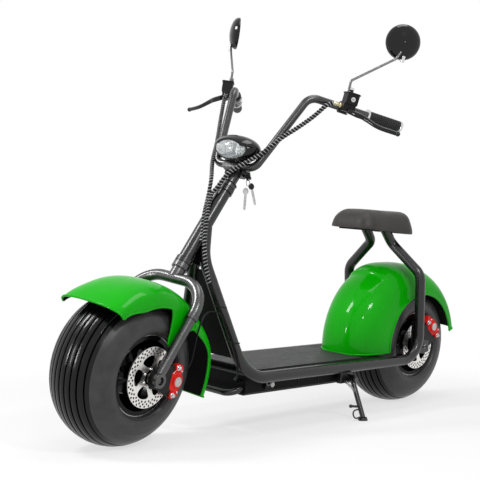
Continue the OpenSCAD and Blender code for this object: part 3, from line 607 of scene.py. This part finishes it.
# Inset of the outline and height, from under the skirt over its edge to the flat of the top
SEAT_LEVELS = [(46, 0.0), (26, 0.0), (8, -0.2), (4, -5), (-2, -7), (-5, -6), (-5.5, -2), (-4.5, 6), (-2, 16),
               (2, 27), (6, 37), (10.5, 47), (16, 55.5), (23, 62), (31, 66.5), (38, 69), (46, 70.6)]
SEAT_TOP = 72


def seat_outline(inset, n=160):
    """Rounded outline, wider at the back, with sides that pull in a little between the corners."""
    r, reach = SEAT_ROUND - inset, SEAT_LEN / 2 - SEAT_ROUND
    pts = []
    for q, (x, y) in enumerate(((1, 1), (-1, 1), (-1, -1), (1, -1))):
        half = (SEAT_NOSE if x > 0 else SEAT_WID) / 2 - SEAT_ROUND
        for k in range(13):
            a = math.radians(q * 90 + k * 7.5)
            pts.append(Vector((x * reach + r * math.cos(a), y * half + r * math.sin(a))))
    runs = [(pts[(i + 1) % len(pts)] - pts[i]).length for i in range(len(pts))]
    out, i, done = [], 0, 0.0
    for k in range(n):
        want = sum(runs) * k / n
        while done + runs[i] < want:
            done += runs[i]
            i += 1
        q = pts[i].lerp(pts[(i + 1) % len(pts)], (want - done) / runs[i])
        waist = math.exp(-((q.x - WAIST_X) / WAIST_SPREAD) ** 2) * WAIST_IN
        out.append((q.x, q.y - math.copysign(min(waist, abs(q.y)), q.y)))
    return out


def seat_crown(x, y, z):
    """Change of height at the top: a shallow dish, a raised back and a lower nose."""
    dish = -6 * math.exp(-((x + 5) / 75) ** 2) * math.exp(-(y / 70) ** 2)
    return ramp(z, 22, 66) * (dish + 4 * ramp(-x, 0, 120) - 11 * ramp(x, 10, 135) - 5 * (y / 100) ** 2)


def seat():
    rings = [[(x, y, z + seat_crown(x, y, z)) for x, y in seat_outline(inset)] for inset, z in SEAT_LEVELS]
    last = seat_outline(SEAT_LEVELS[-1][0])
    for k in (0.75, 0.5, 0.25, 0.02):
        inner = [(x * k, y * k) for x, y in last]
        rings.append([(x, y, SEAT_TOP - 1.4 * k * k + seat_crown(x, y, SEAT_TOP)) for x, y in inner])
    at = PARK @ shift(SEAT_X, 0, SEAT_Z) @ turn(SEAT_TILT, "Y")
    p = Piece("seat_saddle", "frame", "leather").add(loft(rings), "leather", at)
    obj = p.build("seat_cushion", sharp=60, slot="seat_cover")


seat()


# Left half of the bar, straight ahead: its bends, then directions along, ahead of and above the grip
BAR_C = axis_point(CLAMP_S, BAR_AHEAD)
BAR = [BAR_C + Vector(v) for v in ((0, 76, 0), (-136, 150, 242), (-397, 335, 190))]
BAR_U = (BAR[2] - BAR[1]).normalized()
BAR_F = BAR_U.cross(Vector((0, 0, 1))).normalized()
BAR_V = BAR_F.cross(BAR_U)
GRIP_ROOT = BAR[2] - BAR_U * GRIP_LEN
PERCH = BAR[2] - BAR_U * (GRIP_LEN + 80)
ON_PERCH = Matrix.Translation(PERCH) @ Matrix((BAR_F, -BAR_V, BAR_U)).transposed().to_4x4()
SIDES = (("left", TURNED), ("right", TURNED @ FLIP))

# Grips: ribbed rubber between a chrome collar and a chrome end
GRIP_BORE, GRIP_END = BAR_R + 0.3, GRIP_LEN + 6
GRIP_RIBS, RIB_PITCH, RIB_DEEP = 16, 6.4, 1.7
COLLAR_LEN, CAP_LEN = 9.2, 11


def grip(side, at):
    at = at @ aim(GRIP_ROOT, BAR_U)
    ribs = [(GRIP_BORE, COLLAR_LEN), (GRIP_R - 0.4, COLLAR_LEN), (GRIP_R, 10)]
    for k in range(GRIP_RIBS):
        z = 13.5 + k * RIB_PITCH
        ribs += [(GRIP_R, z), (GRIP_R - RIB_DEEP, z + 0.7), (GRIP_R - RIB_DEEP, z + 1.9), (GRIP_R, z + 2.6)]
    ribs += [(GRIP_R, GRIP_END - CAP_LEN), (GRIP_BORE, GRIP_END - CAP_LEN)]
    collar = [(GRIP_BORE, 0), (19.6, 0), (20.8, 1.2), (20.8, 7.4), (19.6, 8.6), (GRIP_R + 0.5, COLLAR_LEN),
              (GRIP_BORE, COLLAR_LEN)]
    cap = [(0, -10.8), (16.2, -10.8), (17.4, -9.8), (17.4, -4.5), (15.6, -1.4), (9, 0), (0, 0)]
    p = Piece("grip_ribbed_" + side, "steering", "rubber", "chrome")
    p.add(revolve(ribs, 40, loop=True), "rubber", at)
    p.add(revolve(collar, 40, loop=True), "chrome", at)
    p.add(revolve(cap, 40), "chrome", at @ shift(0, 0, GRIP_END))
    p.build("grip_" + side, sharp=30, slot="grip_rubber")


# Levers: a flat curved blade with a ball at its tip
LEVER_BALL_R, LEVER_STEPS = 7.8, 18


def lever(side, at):
    root = PERCH + BAR_F * (BAR_R + 36)
    knee = PERCH + BAR_F * (BAR_R + 74) + BAR_U * 26
    tip = BAR[2] + BAR_F * 164 - BAR_U * 77 - BAR_V * 38
    path = curve([root - BAR_V * 9, knee - BAR_F * 14 - BAR_U * 6 - BAR_V * 15,
                  knee + BAR_U * 13 - BAR_F * 1 - BAR_V * 18, knee.lerp(tip, 0.5) - BAR_V * 17,
                  tip - BAR_V * 3], 5)
    rings = []
    for i, c in enumerate(path):
        t = i / (len(path) - 1)
        out = BAR_V.cross(direction(path, i)).normalized()
        wide, tall = 6.4 - 1.2 * t, 9.0 - 2.2 * ramp(t, 0.1, 0.8)
        rings.append([c + out * u + BAR_V * v for u, v in circle(wide, LEVER_STEPS, ry=tall)])
    ball = [(LEVER_BALL_R * math.sin(a), -LEVER_BALL_R * math.cos(a)) for a in spread(0, math.pi, 12)]
    p = Piece("lever_blade_" + side, "steering", "gloss")
    p.add(loft(rings), "gloss", at)
    p.add(revolve(ball, 24), "gloss", at @ aim(tip - BAR_V * 3, BAR_V))
    p.build("lever_" + side, sharp=50, slot="gloss_black")


# Lever sets: lid with its screws, sight glass, clamp bolts, pivot bolt, hose fitting and the arm's lock nut
LID_Y, SIGHT_AT = 48, (50, -28, 3)
SIGHT_RIM = [(0, 0.2), (5.2, 0.2), (5.2, 1.6), (7.4, 1.8), (7.8, 0.8), (7.8, -1), (0, -1)]
SIGHT_GLASS = [(0, 0.2), (4.8, 0.2), (4.8, 1.8), (3.2, 2.6), (0, 3)]
HOSE_END = [(0, 0), (5.4, 0), (5.4, 5), (6.2, 6), (6.2, 20), (5.2, 22), (0, 22)]


def perch_trim(side, at):
    fitting = "brass" if side == "left" else "plastic"
    p = Piece("perch_trim_" + side, "steering", "chrome", "glass", fitting, "plastic")
    at = at @ ON_PERCH
    for z in (-13, 17):
        p.add(screw(3.4, 2.2), "chrome", at @ aim((42, -LID_Y, z), (0, -1, 0)))
    p.add(slab(rect(15, 49, -17, 21), 0, 1.6, 1.2), "plastic", at @ on_side(-1, LID_Y))
    p.add(revolve(SIGHT_RIM, 28), "chrome", at @ aim(SIGHT_AT, (1, 0, 0)))
    p.add(revolve(SIGHT_GLASS, 24), "glass", at @ aim(SIGHT_AT, (1, 0, 0)))
    for z in (-8, 8):
        p.add(screw(4.2, 4), "chrome", at @ aim((-BAR_R - 5.5, 0, z), (-1, 0, 0)))
    p.add(hexnut(7, 4), "chrome", at @ aim((BAR_R + 22, -14, 6), (0, -1, 0)))
    p.add(hexnut(6.5, 5), "chrome", at @ aim((BAR_R + 22, 12, 6), (0, 1, 0)))
    p.add(hexnut(7.5, 9), fitting, at @ aim((30, -2, -20), (0, 0, -1)))
    p.add(revolve(HOSE_END, 24), fitting, at @ aim((30, -2, -28), (0, 0, -1)))
    p.add(hexnut(8.5, 7), "chrome", at @ aim((22, -58, 0), (0, -1, 0)))
    p.build(sharp=30, slot="chrome")


# Mirrors: glass set in the flat face, and a chrome neck where the arm meets the dome
MIRROR_C = BAR[2] + Vector((59, 0, 261))
MIRROR_N = Vector((1, 1, 0)).normalized()
NECK_AT = MIRROR_C + MIRROR_N * 16.9 + Vector((0, 0, -64))
NECK = [(0, 0), (6.4, 0), (7, 1), (7, 7), (5.6, 9), (5.6, 20), (0, 20)]
GLASS_R = MIRROR_R - 4.4


def mirror(side, at):
    glass = [(0, 2.1), (GLASS_R, 2.1), (GLASS_R, 3.0), (GLASS_R - 2, 3.7), (0, 3.9)]
    p = Piece("mirror_glass_" + side, "steering", "mirror", "chrome")
    p.add(revolve(glass, 56), "mirror", at @ aim(MIRROR_C, -MIRROR_N))
    p.add(revolve(NECK, 24), "chrome", at @ aim(NECK_AT, (-0.16, 0.16, 1)))
    p.build(sharp=30, slot="chrome")


# Headlight: fluted reflector, two lamps, side bars and a bezel behind the clear lens; the white of the lamps
# and bars also stands for light seen inside: painted reflection
LIGHT_C = BAR_C + Vector((-3, 0, 52))
LIGHT_STEPS, FLUTES, FLUTE_H = 96, 24, 0.012
LENS_R, BEZEL_R = 61, 67.6
# Depth and size of the bowl's rings, down its inside and back up its outside
BOWL = [(32, 1.0), (25, 0.93), (17, 0.8), (10, 0.6), (6, 0.36), (4.5, 0.2),
        (2.5, 0.2), (4, 0.4), (8, 0.63), (15, 0.83), (23, 0.96), (31, 1.02)]
LAMP_CUP = [(0, 0), (15, 0), (14.4, 6), (12.6, 7.4), (11.4, 5), (0, 4)]
LAMP_BULB = [(0, 0), (8.6, 0), (8.4, 4), (6.8, 7.6), (3.6, 9.6), (0, 10.2)]


def oval(x, r, k=1.0):
    """The lens's oval at depth x, for a lens of radius r."""
    s = math.sqrt(max(0.0, 1 - (x / (0.9 * r)) ** 2)) * k
    return [(x, y, z) for y, z in circle(1.15 * r * s, LIGHT_STEPS, ry=0.62 * r * s)]


def fluted(x, k):
    ring = []
    for i, (_, y, z) in enumerate(oval(BOWL[0][0], LENS_R)):
        flute = 1 + FLUTE_H * math.cos(FLUTES * math.tau * i / LIGHT_STEPS)
        ring.append((x, y * k * flute, z * k * flute))
    return ring


def headlight():
    at = TURNED @ Matrix.Translation(LIGHT_C)
    p = Piece("headlight_inside", "steering", "reflector", "bulb", "gloss")
    p.add(loft([fluted(x, k) for x, k in BOWL], caps=False), "reflector", at)
    for y in (-19, 19):
        p.add(revolve(LAMP_CUP, 36), "reflector", at @ aim((16, y, 0), (1, 0, 0)))
        p.add(revolve(LAMP_BULB, 28), "bulb", at @ aim((19, y, 0), (1, 0, 0)))
    # White side bars: painted reflection that lightens the lamp's inside
    for y in (-52, -44, -36, 36, 44, 52):
        p.add(tube([(24 - abs(y) * 0.06, y, z) for z in spread(-14, 14, 4)], 1.7, 8), "bulb", at)
    bezel = [oval(x, BEZEL_R, k) for x, k in ((35.2, 0.985), (37.4, 0.965), (37.4, 0.9), (35.2, 0.9))]
    p.add(loft(bezel + bezel[:1], caps=False), "gloss", at)
    p.build(sharp=40, slot="gloss_black")


for side_name, side_at in SIDES:
    grip(side_name, side_at)
    lever(side_name, side_at)
    perch_trim(side_name, side_at)
    mirror(side_name, side_at)
headlight()


# Looms and hoses run from the bars to the frame over the head tube
LOOM_PITCH, STRAND_R, CABLE_R, TIE_R = 10.5, 1.6, 2.3, 1.6
LOOM_START = PERCH + BAR_F * 30 + BAR_V * 2 - BAR_U * 46
LEFT_ON_BARS = [LOOM_START, (96, 200, 1054), (134, 179, 1011), (178, 156, 970), (217, 130, 933),
                (262, 94, 877), (294, 56, 839), (316, 24, 809), (336, 2, 760)]
LEFT_ON_FRAME = [(349, -4, 730), (378, 15, 672), (398, 32, 597), (401, 45, 531), (394, 59, 469)]
RIGHT_ON_BARS = [FLIP @ LOOM_START, (78, -226, 1040), (128, -190, 974), (202, -133, 897), (276, -80, 834),
                 (330, -32, 778)]
RIGHT_ON_FRAME = [(352, -14, 726), (383, 6, 668), (404, 24, 590)]
HOSE_ON_FRAME = [(362, 112, 340), (366, 105, 362), (380, 100, 381), (401, 96, 388)]
HOSE_ON_FORK = [(440, 112, 397), (470, 122, 386), (494, 128, 350), (512, 136, 300), (524, 140, 262),
                (534, 134, 236)]


def twist(run, a):
    """Ridges of the wound wrap."""
    return 1.8 * max(0.0, math.sin(run * math.tau / LOOM_PITCH - a)) ** 0.7 - 0.9


def across(p):
    """Builds a piece that goes over from the frame to the steering; its place is baked into its points and it
    rides on no body.
    """
    obj = p.build(sharp=60, slot="black_plastic")
    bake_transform(obj)


def loom(name, on_bars, on_frame, radius):
    path = place_all(TURNED, on_bars) + place_all(PARK, on_frame)
    p = Piece(name, None, "loom", "pale_strand_highlight")
    p.add(tube(curve(path, 3.0), radius, 20, twist), "loom")
    # A pale strand wound round the loom, its tone partly a painted highlight
    p.add(strand(curve(path, 1.2), radius - 0.4, LOOM_PITCH, STRAND_R), "pale_strand_highlight")
    across(p)


def down_tube_cables():
    p = Piece("down_tube_cables", "frame", "loom", "rubber")
    for d in (0, 4.4, 8.6):
        run = [LEFT_ON_FRAME[-1], (386 - d * 0.3, 70 + d * 0.3, 440), (372 + d * 0.2, 86 + d * 0.7, 397),
               (362, 101 + d, 356), (346, 126 + d, 289), (337, 140 + d * 0.8, 240), (329, 137, 205 - d),
               (316, 122 - d, 182), (296, 108 - d, 172), (277, 102 - d, 172)]
        p.add(tube(curve(run), CABLE_R, 10), "loom", PARK)
    for x, y, z in ((357, 73, 400), (332, 113, 296)):
        tie = [(x + 21 * u, y + 21 * v, z + 4 * u) for u, v in hoop(36)]
        p.add(tube(tie, TIE_R, 8), "rubber", PARK)
    p.build(sharp=60, slot="black_plastic")


def brake_hose():
    path = place_all(PARK, HOSE_ON_FRAME) + place_all(TURNED, HOSE_ON_FORK)
    p = Piece("brake_hose_front", None, "loom").add(tube(curve(path), 2.6, 12), "loom")
    across(p)


loom("loom_left", LEFT_ON_BARS, LEFT_ON_FRAME, 6.6)
loom("loom_right", RIGHT_ON_BARS, RIGHT_ON_FRAME, 6.0)
down_tube_cables()
brake_hose()


# Brake discs: drilled, with five windows, filled from their outlines
DISC_BORE, WINDOWS = 20, 5
WINDOW = [(26, -16), (42, -28), (58, -29), (64.5, -8), (61, 13), (52, 21), (43, 13), (32, 3)]
DRILL_ROWS, DRILLS, DRILL_R = (83.2, 76.3, 69.5), 30, 3.4


def disc_outlines():
    window = rounded([Vector(v) for v in WINDOW])
    loops = [circle(DISC_R, 144), circle(DISC_BORE, 48)]
    for x, y in circle(1.0, WINDOWS):
        loops.append([(v.x * x - v.y * y, v.x * y + v.y * x) for v in window])
    for row, r in enumerate(DRILL_ROWS):
        for k in range(DRILLS):
            a = math.tau * (k + row * 0.5) / DRILLS
            loops.append(circle(DRILL_R, 14, r * math.cos(a), r * math.sin(a)))
    return loops


def filled(name, outlines, thick):
    """A plate with holes, from its outer outline and those of the holes."""
    data = bpy.data.curves.new(name, "CURVE")
    data.dimensions, data.fill_mode, data.extrude = "2D", "BOTH", thick / 2
    for loop in outlines:
        line = data.splines.new("POLY")
        line.points.add(len(loop) - 1)
        for point, (x, y) in zip(line.points, loop):
            point.co = (x, y, 0, 1)
        line.use_cyclic_u = True
    obj = bpy.data.objects.new(name + "_outline", data)
    bpy.context.scene.collection.objects.link(obj)
    mesh = bpy.data.meshes.new_from_object(obj.evaluated_get(bpy.context.evaluated_depsgraph_get()))
    part = [v.co.copy() for v in mesh.vertices], [list(f.vertices) for f in mesh.polygons]
    bpy.data.objects.remove(obj)
    bpy.data.curves.remove(data)
    bpy.data.meshes.remove(mesh)
    return part


def brake_disc(name, body, node, at):
    p = Piece(name, body, "disc")
    p.add(filled(name, disc_outlines(), DISC_T), "disc", at @ shift(0, 0, DISC_Y))
    p.build(node, sharp=30, slot="disc_steel")


brake_disc("disc_drilled_front", "front_wheel", "front_disc", FRONT_WHEEL)
brake_disc("disc_drilled_rear", "rear_wheel", "rear_disc", REAR_WHEEL)

# Wheels: steel rings on the rim edges as a painted highlight, disc bolts, valve stems
DISC_FACE = DISC_Y + DISC_T / 2
RIM_EDGE_Y = RIM_HALF + FLANGE_T
RIM_LIP_HIGHLIGHT = [(115.2, -0.4), (115.6, 0.9), (117.4, 0.9), (118.3, -0.4), (118.3, -2.4), (117.4, -2.4)]
VALVE = [(0, 0), (7, 0), (7, 3), (4.6, 5), (4.2, 20), (3.4, 21), (3.4, 27), (2.6, 28.5), (0, 28.5)]
DISC_BOLTS, BOLT_CIRCLE_R = 6, 23.6


def wheel_trim(name, body, at):
    p = Piece(name, body, "steel", "rubber", "chrome")
    # Steel rings on both rim lips stand for the light line along the gloss black rim: painted highlight
    for s in (-1, 1):
        edge = [(r, s * (RIM_EDGE_Y + y)) for r, y in RIM_LIP_HIGHLIGHT]
        p.add(revolve(edge, 96, loop=True), "steel", at)
    for k in range(DISC_BOLTS):
        a = math.tau * (k + 0.5) / DISC_BOLTS
        seat_at = (BOLT_CIRCLE_R * math.cos(a), BOLT_CIRCLE_R * math.sin(a), DISC_FACE)
        p.add(screw(3.6, 3.4), "chrome", at @ aim(seat_at, (0, 0, 1)))
    p.add(revolve(VALVE, 18), "rubber", at @ aim((100, 0, 66), (-0.75, 0, 0.66)))
    p.build(sharp=30, slot="plated_steel")


wheel_trim("rim_edge_highlight_front", "front_wheel", FRONT_WHEEL)
wheel_trim("rim_edge_highlight_rear", "rear_wheel", REAR_WHEEL)

# Brakes: outer caliper halves with bare round caps, bolts, a bleed nipple and its rubber
CALIPER_FACE = DISC_FACE + PAD_GAP + HALF_OUT + 1
LOBES = [(-24, -20), (-17, -28), (-6, -45), (13, -48), (20, -39), (17, -23), (26, -13)]
CUP = [(0, 7), (19, 7), (19, 11), (17.4, 12.6), (14.8, 12.6), (14.8, 11.6), (0, 11.6)]
CUP_CAP = [(0, 11), (14.2, 11), (14.2, 13.4), (12.8, 14.4), (10.4, 13.8), (9.6, 13.1), (4, 13.1),
           (3.4, 13.8), (0, 13.8)]
BOLT_BOSS = [(0, 0), (10.5, 0), (10.5, 11), (9, 12.6), (0, 12.6)]
NIPPLE = [(0, 0), (2.4, 0), (2.4, 6), (3.2, 7), (3.2, 13), (0, 14)]
NIPPLE_AXIS = (1, 0.3, 0)


def brake_trim(name, body, wheel, angle):
    p = Piece(name, body, "pale", "chrome", "rubber", "red")
    at = wheel @ turn(-angle, "Z") @ shift(0, 0, CALIPER_FACE)
    outline = LOBES + [(x, -y) for x, y in reversed(LOBES)]
    p.add(slab([(DISC_R + x, y) for x, y in outline], -2, 8, 2.4), "red", at)
    p.add(revolve(CUP, 40), "red", at @ shift(DISC_R + 2, 0, 0))
    p.add(revolve(CUP_CAP, 40), "pale", at @ shift(DISC_R + 2, 0, 0))
    for s in (-1, 1):
        bolt_at = at @ shift(DISC_R - 8, s * 40, 0)
        p.add(revolve(BOLT_BOSS, 28), "red", bolt_at @ shift(0, 0, -1.5))
        p.add(screw(5.6, 6), "chrome", bolt_at @ shift(0, 0, 12.4))
        p.add(washer(7.6, 1.2, 24), "chrome", bolt_at @ shift(0, 0, 11))
        p.add(screw(3, 3), "chrome", at @ shift(DISC_R + 12, s * 31, 7.8))
    p.add(hexnut(5, 4), "chrome", at @ aim((DISC_R + 18, 12, -6), NIPPLE_AXIS))
    p.add(revolve(NIPPLE, 16), "rubber", at @ aim((DISC_R + 21, 13, -6), NIPPLE_AXIS))
    p.build(sharp=30, slot="plated_steel")


brake_trim("caliper_trim_front", "steering", FRONT_WHEEL, 190)
brake_trim("caliper_trim_rear", "frame", REAR_WHEEL, 130)

# Fork and stem: clamp bolts, rings where the legs join the crown, axle nuts and bearing rings
LEG_RING_S, BEARING_RINGS_S, CLAMP_TOP_S = 211.2, (346, 667), CLAMP_S + 16


def fork():
    p = Piece("fork_trim", "steering", "dark")
    for s in (-1, 1):
        for x in (-11, 33):
            p.add(screw(4.4, 4.5), "dark", TURNED_AXIS @ aim((x, s * 19, CLAMP_TOP_S), (0, 0, 1)))
        p.add(band(15, 18.7, 0.2, 2, 40), "dark", TURNED_AXIS @ shift(0, s * LEG_Y, LEG_RING_S))
        p.add(hexnut(10, 7), "dark", TURNED_AXIS @ aim((0, s * (LEG_Y + 5), 0), (0, s, 0)))
    for z in BEARING_RINGS_S:
        p.add(band(20, 26.2, 0.4, 1.6, 48), "dark", TURNED_AXIS @ shift(0, 0, z))
    p.build(sharp=30, slot="plated_steel")


fork()

# Keys: two on a ring, with a tag, under a lock barrel on its bracket
KEY_LOCK = TURNED @ Vector((246, 52, 792))
BARREL = [(0, 0), (10, 0), (10, 16), (8.6, 18), (8.6, 24), (7, 26), (0, 26)]
TAG = [(-8, -2), (8, -2), (10, 3), (9, 12), (0, 16), (-9, 12), (-10, 3)]
KEY_BLADE = [(-4, -18), (4, -18), (4, -54), (2.6, -56), (4, -58), (2.4, -61), (4, -64), (0, -69), (-4, -65)]


def keys():
    p = Piece("key_ring_keys", "steering", "steel", "gloss")
    p.add(slab(TAG, -1.3, 1.3, 0.6), "steel",
          Matrix.Translation(KEY_LOCK) @ turn(45, "Z") @ turn(90, "X") @ turn(180, "Z"))
    p.add(revolve(BARREL, 32), "gloss", TURNED @ aim((246, 34, 812), (0, 0.66, -0.75)))
    p.add(slab(rect(-12, 12, -14, 14), 0, 14, 2), "gloss", TURNED @ aim((250, 33, 806), (0, 0.4, 1)))
    ring = [KEY_LOCK + Vector((6 + 3 * u, 11 * u, -9 + 11 * v)) for u, v in hoop(48)]
    p.add(tube(ring, 1.1, 8), "steel")
    for bow_key, hangs, tilt in (("steel", (7, -9, -26), 4), ("gloss", (2, 7, -12), -12)):
        at = Matrix.Translation(KEY_LOCK + Vector(hangs)) @ turn(132, "Z") @ turn(tilt, "Y") @ turn(90, "X")
        p.add(slab(circle(9, 24, 0, -9, ry=10.5), -1.2, 1.2, 0.5), bow_key, at)
        p.add(slab(KEY_BLADE, -1.0, 1.0, 0.3), "steel", at)
    p.build(sharp=30, slot="chrome")


keys()

# Battery box: seams, side screws, a cap and a cover ring at the charge port
CHARGE_CAP = [(0, 0), (8.4, 0), (8.8, 1), (8.8, 3), (7, 4.4), (0, 4.8)]
CHARGE_RING = [(5.8, 0), (10.6, 0), (10.6, 3), (9.4, 4), (5.8, 4)]
BOX_FACE_Y = 127.6
SEAMS_X, SEAM_HALF, SEAM_LOW, SEAM_TOP = (40, -60), 1.5, 146, 184
SCREWS_X, SCREWS_Z = (-90, -20, 60, 130, 250), 182


def battery():
    p = Piece("battery_trim", "frame", "plastic", "dark", "pale")
    for s in (-1, 1):
        for x in SEAMS_X:
            seam = rect(x - SEAM_HALF, x + SEAM_HALF, SEAM_LOW, SEAM_TOP)
            p.add(slab(seam, 0, 1.6, 0.6), "plastic", PARK @ on_side(s, BOX_FACE_Y))
        for x in SCREWS_X:
            p.add(screw(3.2, 2), "dark", PARK @ aim((x, s * (BOX_FACE_Y + 0.3), SCREWS_Z), (0, s, 0)))
    p.add(revolve(CHARGE_CAP, 32), "pale", PARK @ aim((167, 133, 155), (0, 1, 0)))
    p.add(revolve(CHARGE_RING, 32, loop=True), "dark", PARK @ aim((189, 136, 163), (0, 1, 0)))
    p.build(sharp=30, slot="black_plastic")


battery()

# Side stand: the foot's tang, the pivot nut and the return spring between its two posts
TANG = [(-182, 215, 52), (-166, 214, 54), (-150, 214, 50), (-147, 216, 38), (-154, 221, 28), (-172, 223, 30)]
PIVOT_X, PIVOT_Y, PIVOT_Z = -192, 178.5, 146
SPRING_A, SPRING_B = PARK @ Vector((-166, 160, 138)), PARK @ Vector((-187, 190, 106))
SPRING_TURNS, TURN_STEPS, SPRING_R, WIRE_R = 12, 20, 4.2, 1.1


def stand():
    p = Piece("stand_trim", "side_stand", "dark", "frame")
    p.add(tube(curve(TANG, 4), 2.6, 10), "frame", PARK)
    p.add(hook_post(13), "dark", PARK @ aim((-190, 182, 104), (0.3, 1, 0.2)))
    p.build(sharp=40, slot="plated_steel")


def stand_pivot():
    p = Piece("stand_pivot_nut", "frame", "dark")
    p.add(hexnut(10, 6), "dark", PARK @ aim((PIVOT_X, PIVOT_Y + 0.5, PIVOT_Z), (0, 1, 0)))
    p.add(washer(12, 1.6, 32), "dark", PARK @ aim((PIVOT_X, PIVOT_Y, PIVOT_Z), (0, 1, 0)))
    p.add(hook_post(14), "dark", PARK @ aim((-166, 150, 138), (0, 1, 0)))
    p.build(sharp=30, slot="plated_steel")


def stand_spring():
    axis = SPRING_B - SPRING_A
    e1 = axis.orthogonal().normalized()
    e2 = axis.normalized().cross(e1)
    steps = SPRING_TURNS * TURN_STEPS
    coil = []
    for i in range(steps + 1):
        a = i * math.tau / TURN_STEPS
        coil.append(SPRING_A + axis * (i / steps) + (e1 * math.cos(a) + e2 * math.sin(a)) * SPRING_R)
    p = Piece("stand_spring", None, "steel").add(tube(coil, WIRE_R, 8), "steel")
    obj = p.build(sharp=60, slot="plated_steel")
    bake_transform(obj)


stand()
stand_pivot()
stand_spring()

# Camera, world, floor and lamps, in metres and watts
CAMERA_AT = (2.36988, 2.13708, 0.54007)
CAMERA_RIGHT = (-0.708888, 0.705320, 0.001054)
CAMERA_UP = (0.013453, 0.012027, 0.999837)
CAMERA_BACK = (0.705193, 0.708787, -0.018015)
SENSOR, LENS = 36.0, 72.32
WORLD_LIGHT = 0.36
FLOOR_R, FLOOR_Z, FLOOR_WHITE = 6.0, -0.0005, 0.66
FADE_FROM, FADE_TO = 0.75, 1.9
# Name, place, aim, width, height and power
LAMPS = [
    ("top_box", (-0.2, 0.5, 3.0), (0, 0, 0.4), 1.4, 0.8, 16),
    ("front_box", (1.9, -1.1, 2.7), (0.3, 0, 0.5), 0.5, 0.9, 43),
    ("edge_strip", (3.2, -0.7, 1.0), (0.3, 0, 0.4), 0.16, 0.9, 24),
    ("right_box", (0.9, 2.6, 2.4), (0.3, 0, 0.6), 0.6, 0.4, 34),
    ("left_fill", (2.3, 2.8, 2.1), (0.1, 0, 0.5), 0.2, 0.3, 9),
]


def put(name, data):
    obj = bpy.data.objects.new(name, data)
    bpy.context.scene.collection.objects.link(obj)
    return obj


def camera():
    cam = put("camera", bpy.data.cameras.new("camera"))
    axes = Matrix((CAMERA_RIGHT, CAMERA_UP, CAMERA_BACK)).transposed().to_4x4()
    cam.matrix_world = Matrix.Translation(CAMERA_AT) @ axes
    cam.data.sensor_width = SENSOR
    cam.data.lens = LENS
    bpy.context.scene.camera = cam
    bpy.context.scene.view_settings.view_transform = "Standard"


def seen_ray(tree):
    """1 for rays from the camera, a reflection or a clear piece, and 0 for the rest."""
    path = add_node(tree, "LightPath")
    ray = path.outputs["Is Camera Ray"]
    for kind in ("Is Glossy Ray", "Is Transmission Ray"):
        ray = add_node(tree, "Math", {0: ray, 1: path.outputs[kind]}, operation="MAXIMUM").outputs[0]
    return ray


def white_world():
    """White where it is seen, and a plain even light."""
    world = bpy.data.worlds.new("studio")
    bpy.context.scene.world = world
    world.use_nodes = True
    tree = world.node_tree
    level = add_node(tree, "MapRange", {"Value": seen_ray(tree), "To Min": WORLD_LIGHT, "To Max": 1.0})
    set_inputs(tree, tree.nodes["Background"], {"Color": (1, 1, 1, 1), "Strength": level.outputs["Result"]})


def studio_floor():
    """A white disc that keeps the shadow and fades out into the world."""
    mesh = bpy.data.meshes.new("studio_floor")
    edge = circle(FLOOR_R, 96)
    mesh.from_pydata([(x, y, FLOOR_Z) for x, y in edge], [], [list(range(len(edge)))])
    mat = material("floor_white", (0.9, 0.9, 0.9), 0.8, vary=0.01, grain=3, spec=0.05)
    tree = mat.node_tree
    white = add_node(tree, "Emission")
    share = add_node(tree, "MapRange", {"Value": seen_ray(tree), "To Max": FLOOR_WHITE})
    pale = add_node(tree, "MixShader", {"Fac": share.outputs["Result"],
                                        1: tree.nodes["Principled BSDF"].outputs["BSDF"],
                                        2: white.outputs["Emission"]})
    far = add_node(tree, "VectorMath", {0: object_coord(tree)}, operation="LENGTH")
    fade = add_node(tree, "MapRange", {"Value": far.outputs["Value"], "From Min": FADE_FROM,
                                       "From Max": FADE_TO}, interpolation_type="SMOOTHSTEP")
    clear = add_node(tree, "BsdfTransparent")
    mix = add_node(tree, "MixShader", {"Fac": fade.outputs["Result"], 1: pale.outputs["Shader"],
                                       2: clear.outputs["BSDF"]})
    tree.links.new(mix.outputs["Shader"], tree.nodes["Material Output"].inputs["Surface"])
    mesh.materials.append(mat)
    floor = put("studio_floor", mesh)


def lamp(name, at, to, width, height, watts):
    data = bpy.data.lights.new(name, "AREA")
    data.shape, data.size, data.size_y, data.energy = "RECTANGLE", width, height, watts
    obj = put(name, data)
    obj.location = at
    obj.rotation_euler = (Vector(to) - Vector(at)).to_track_quat("-Z", "Y").to_euler()


camera()
white_world()
studio_floor()
for values in LAMPS:
    lamp(*values)
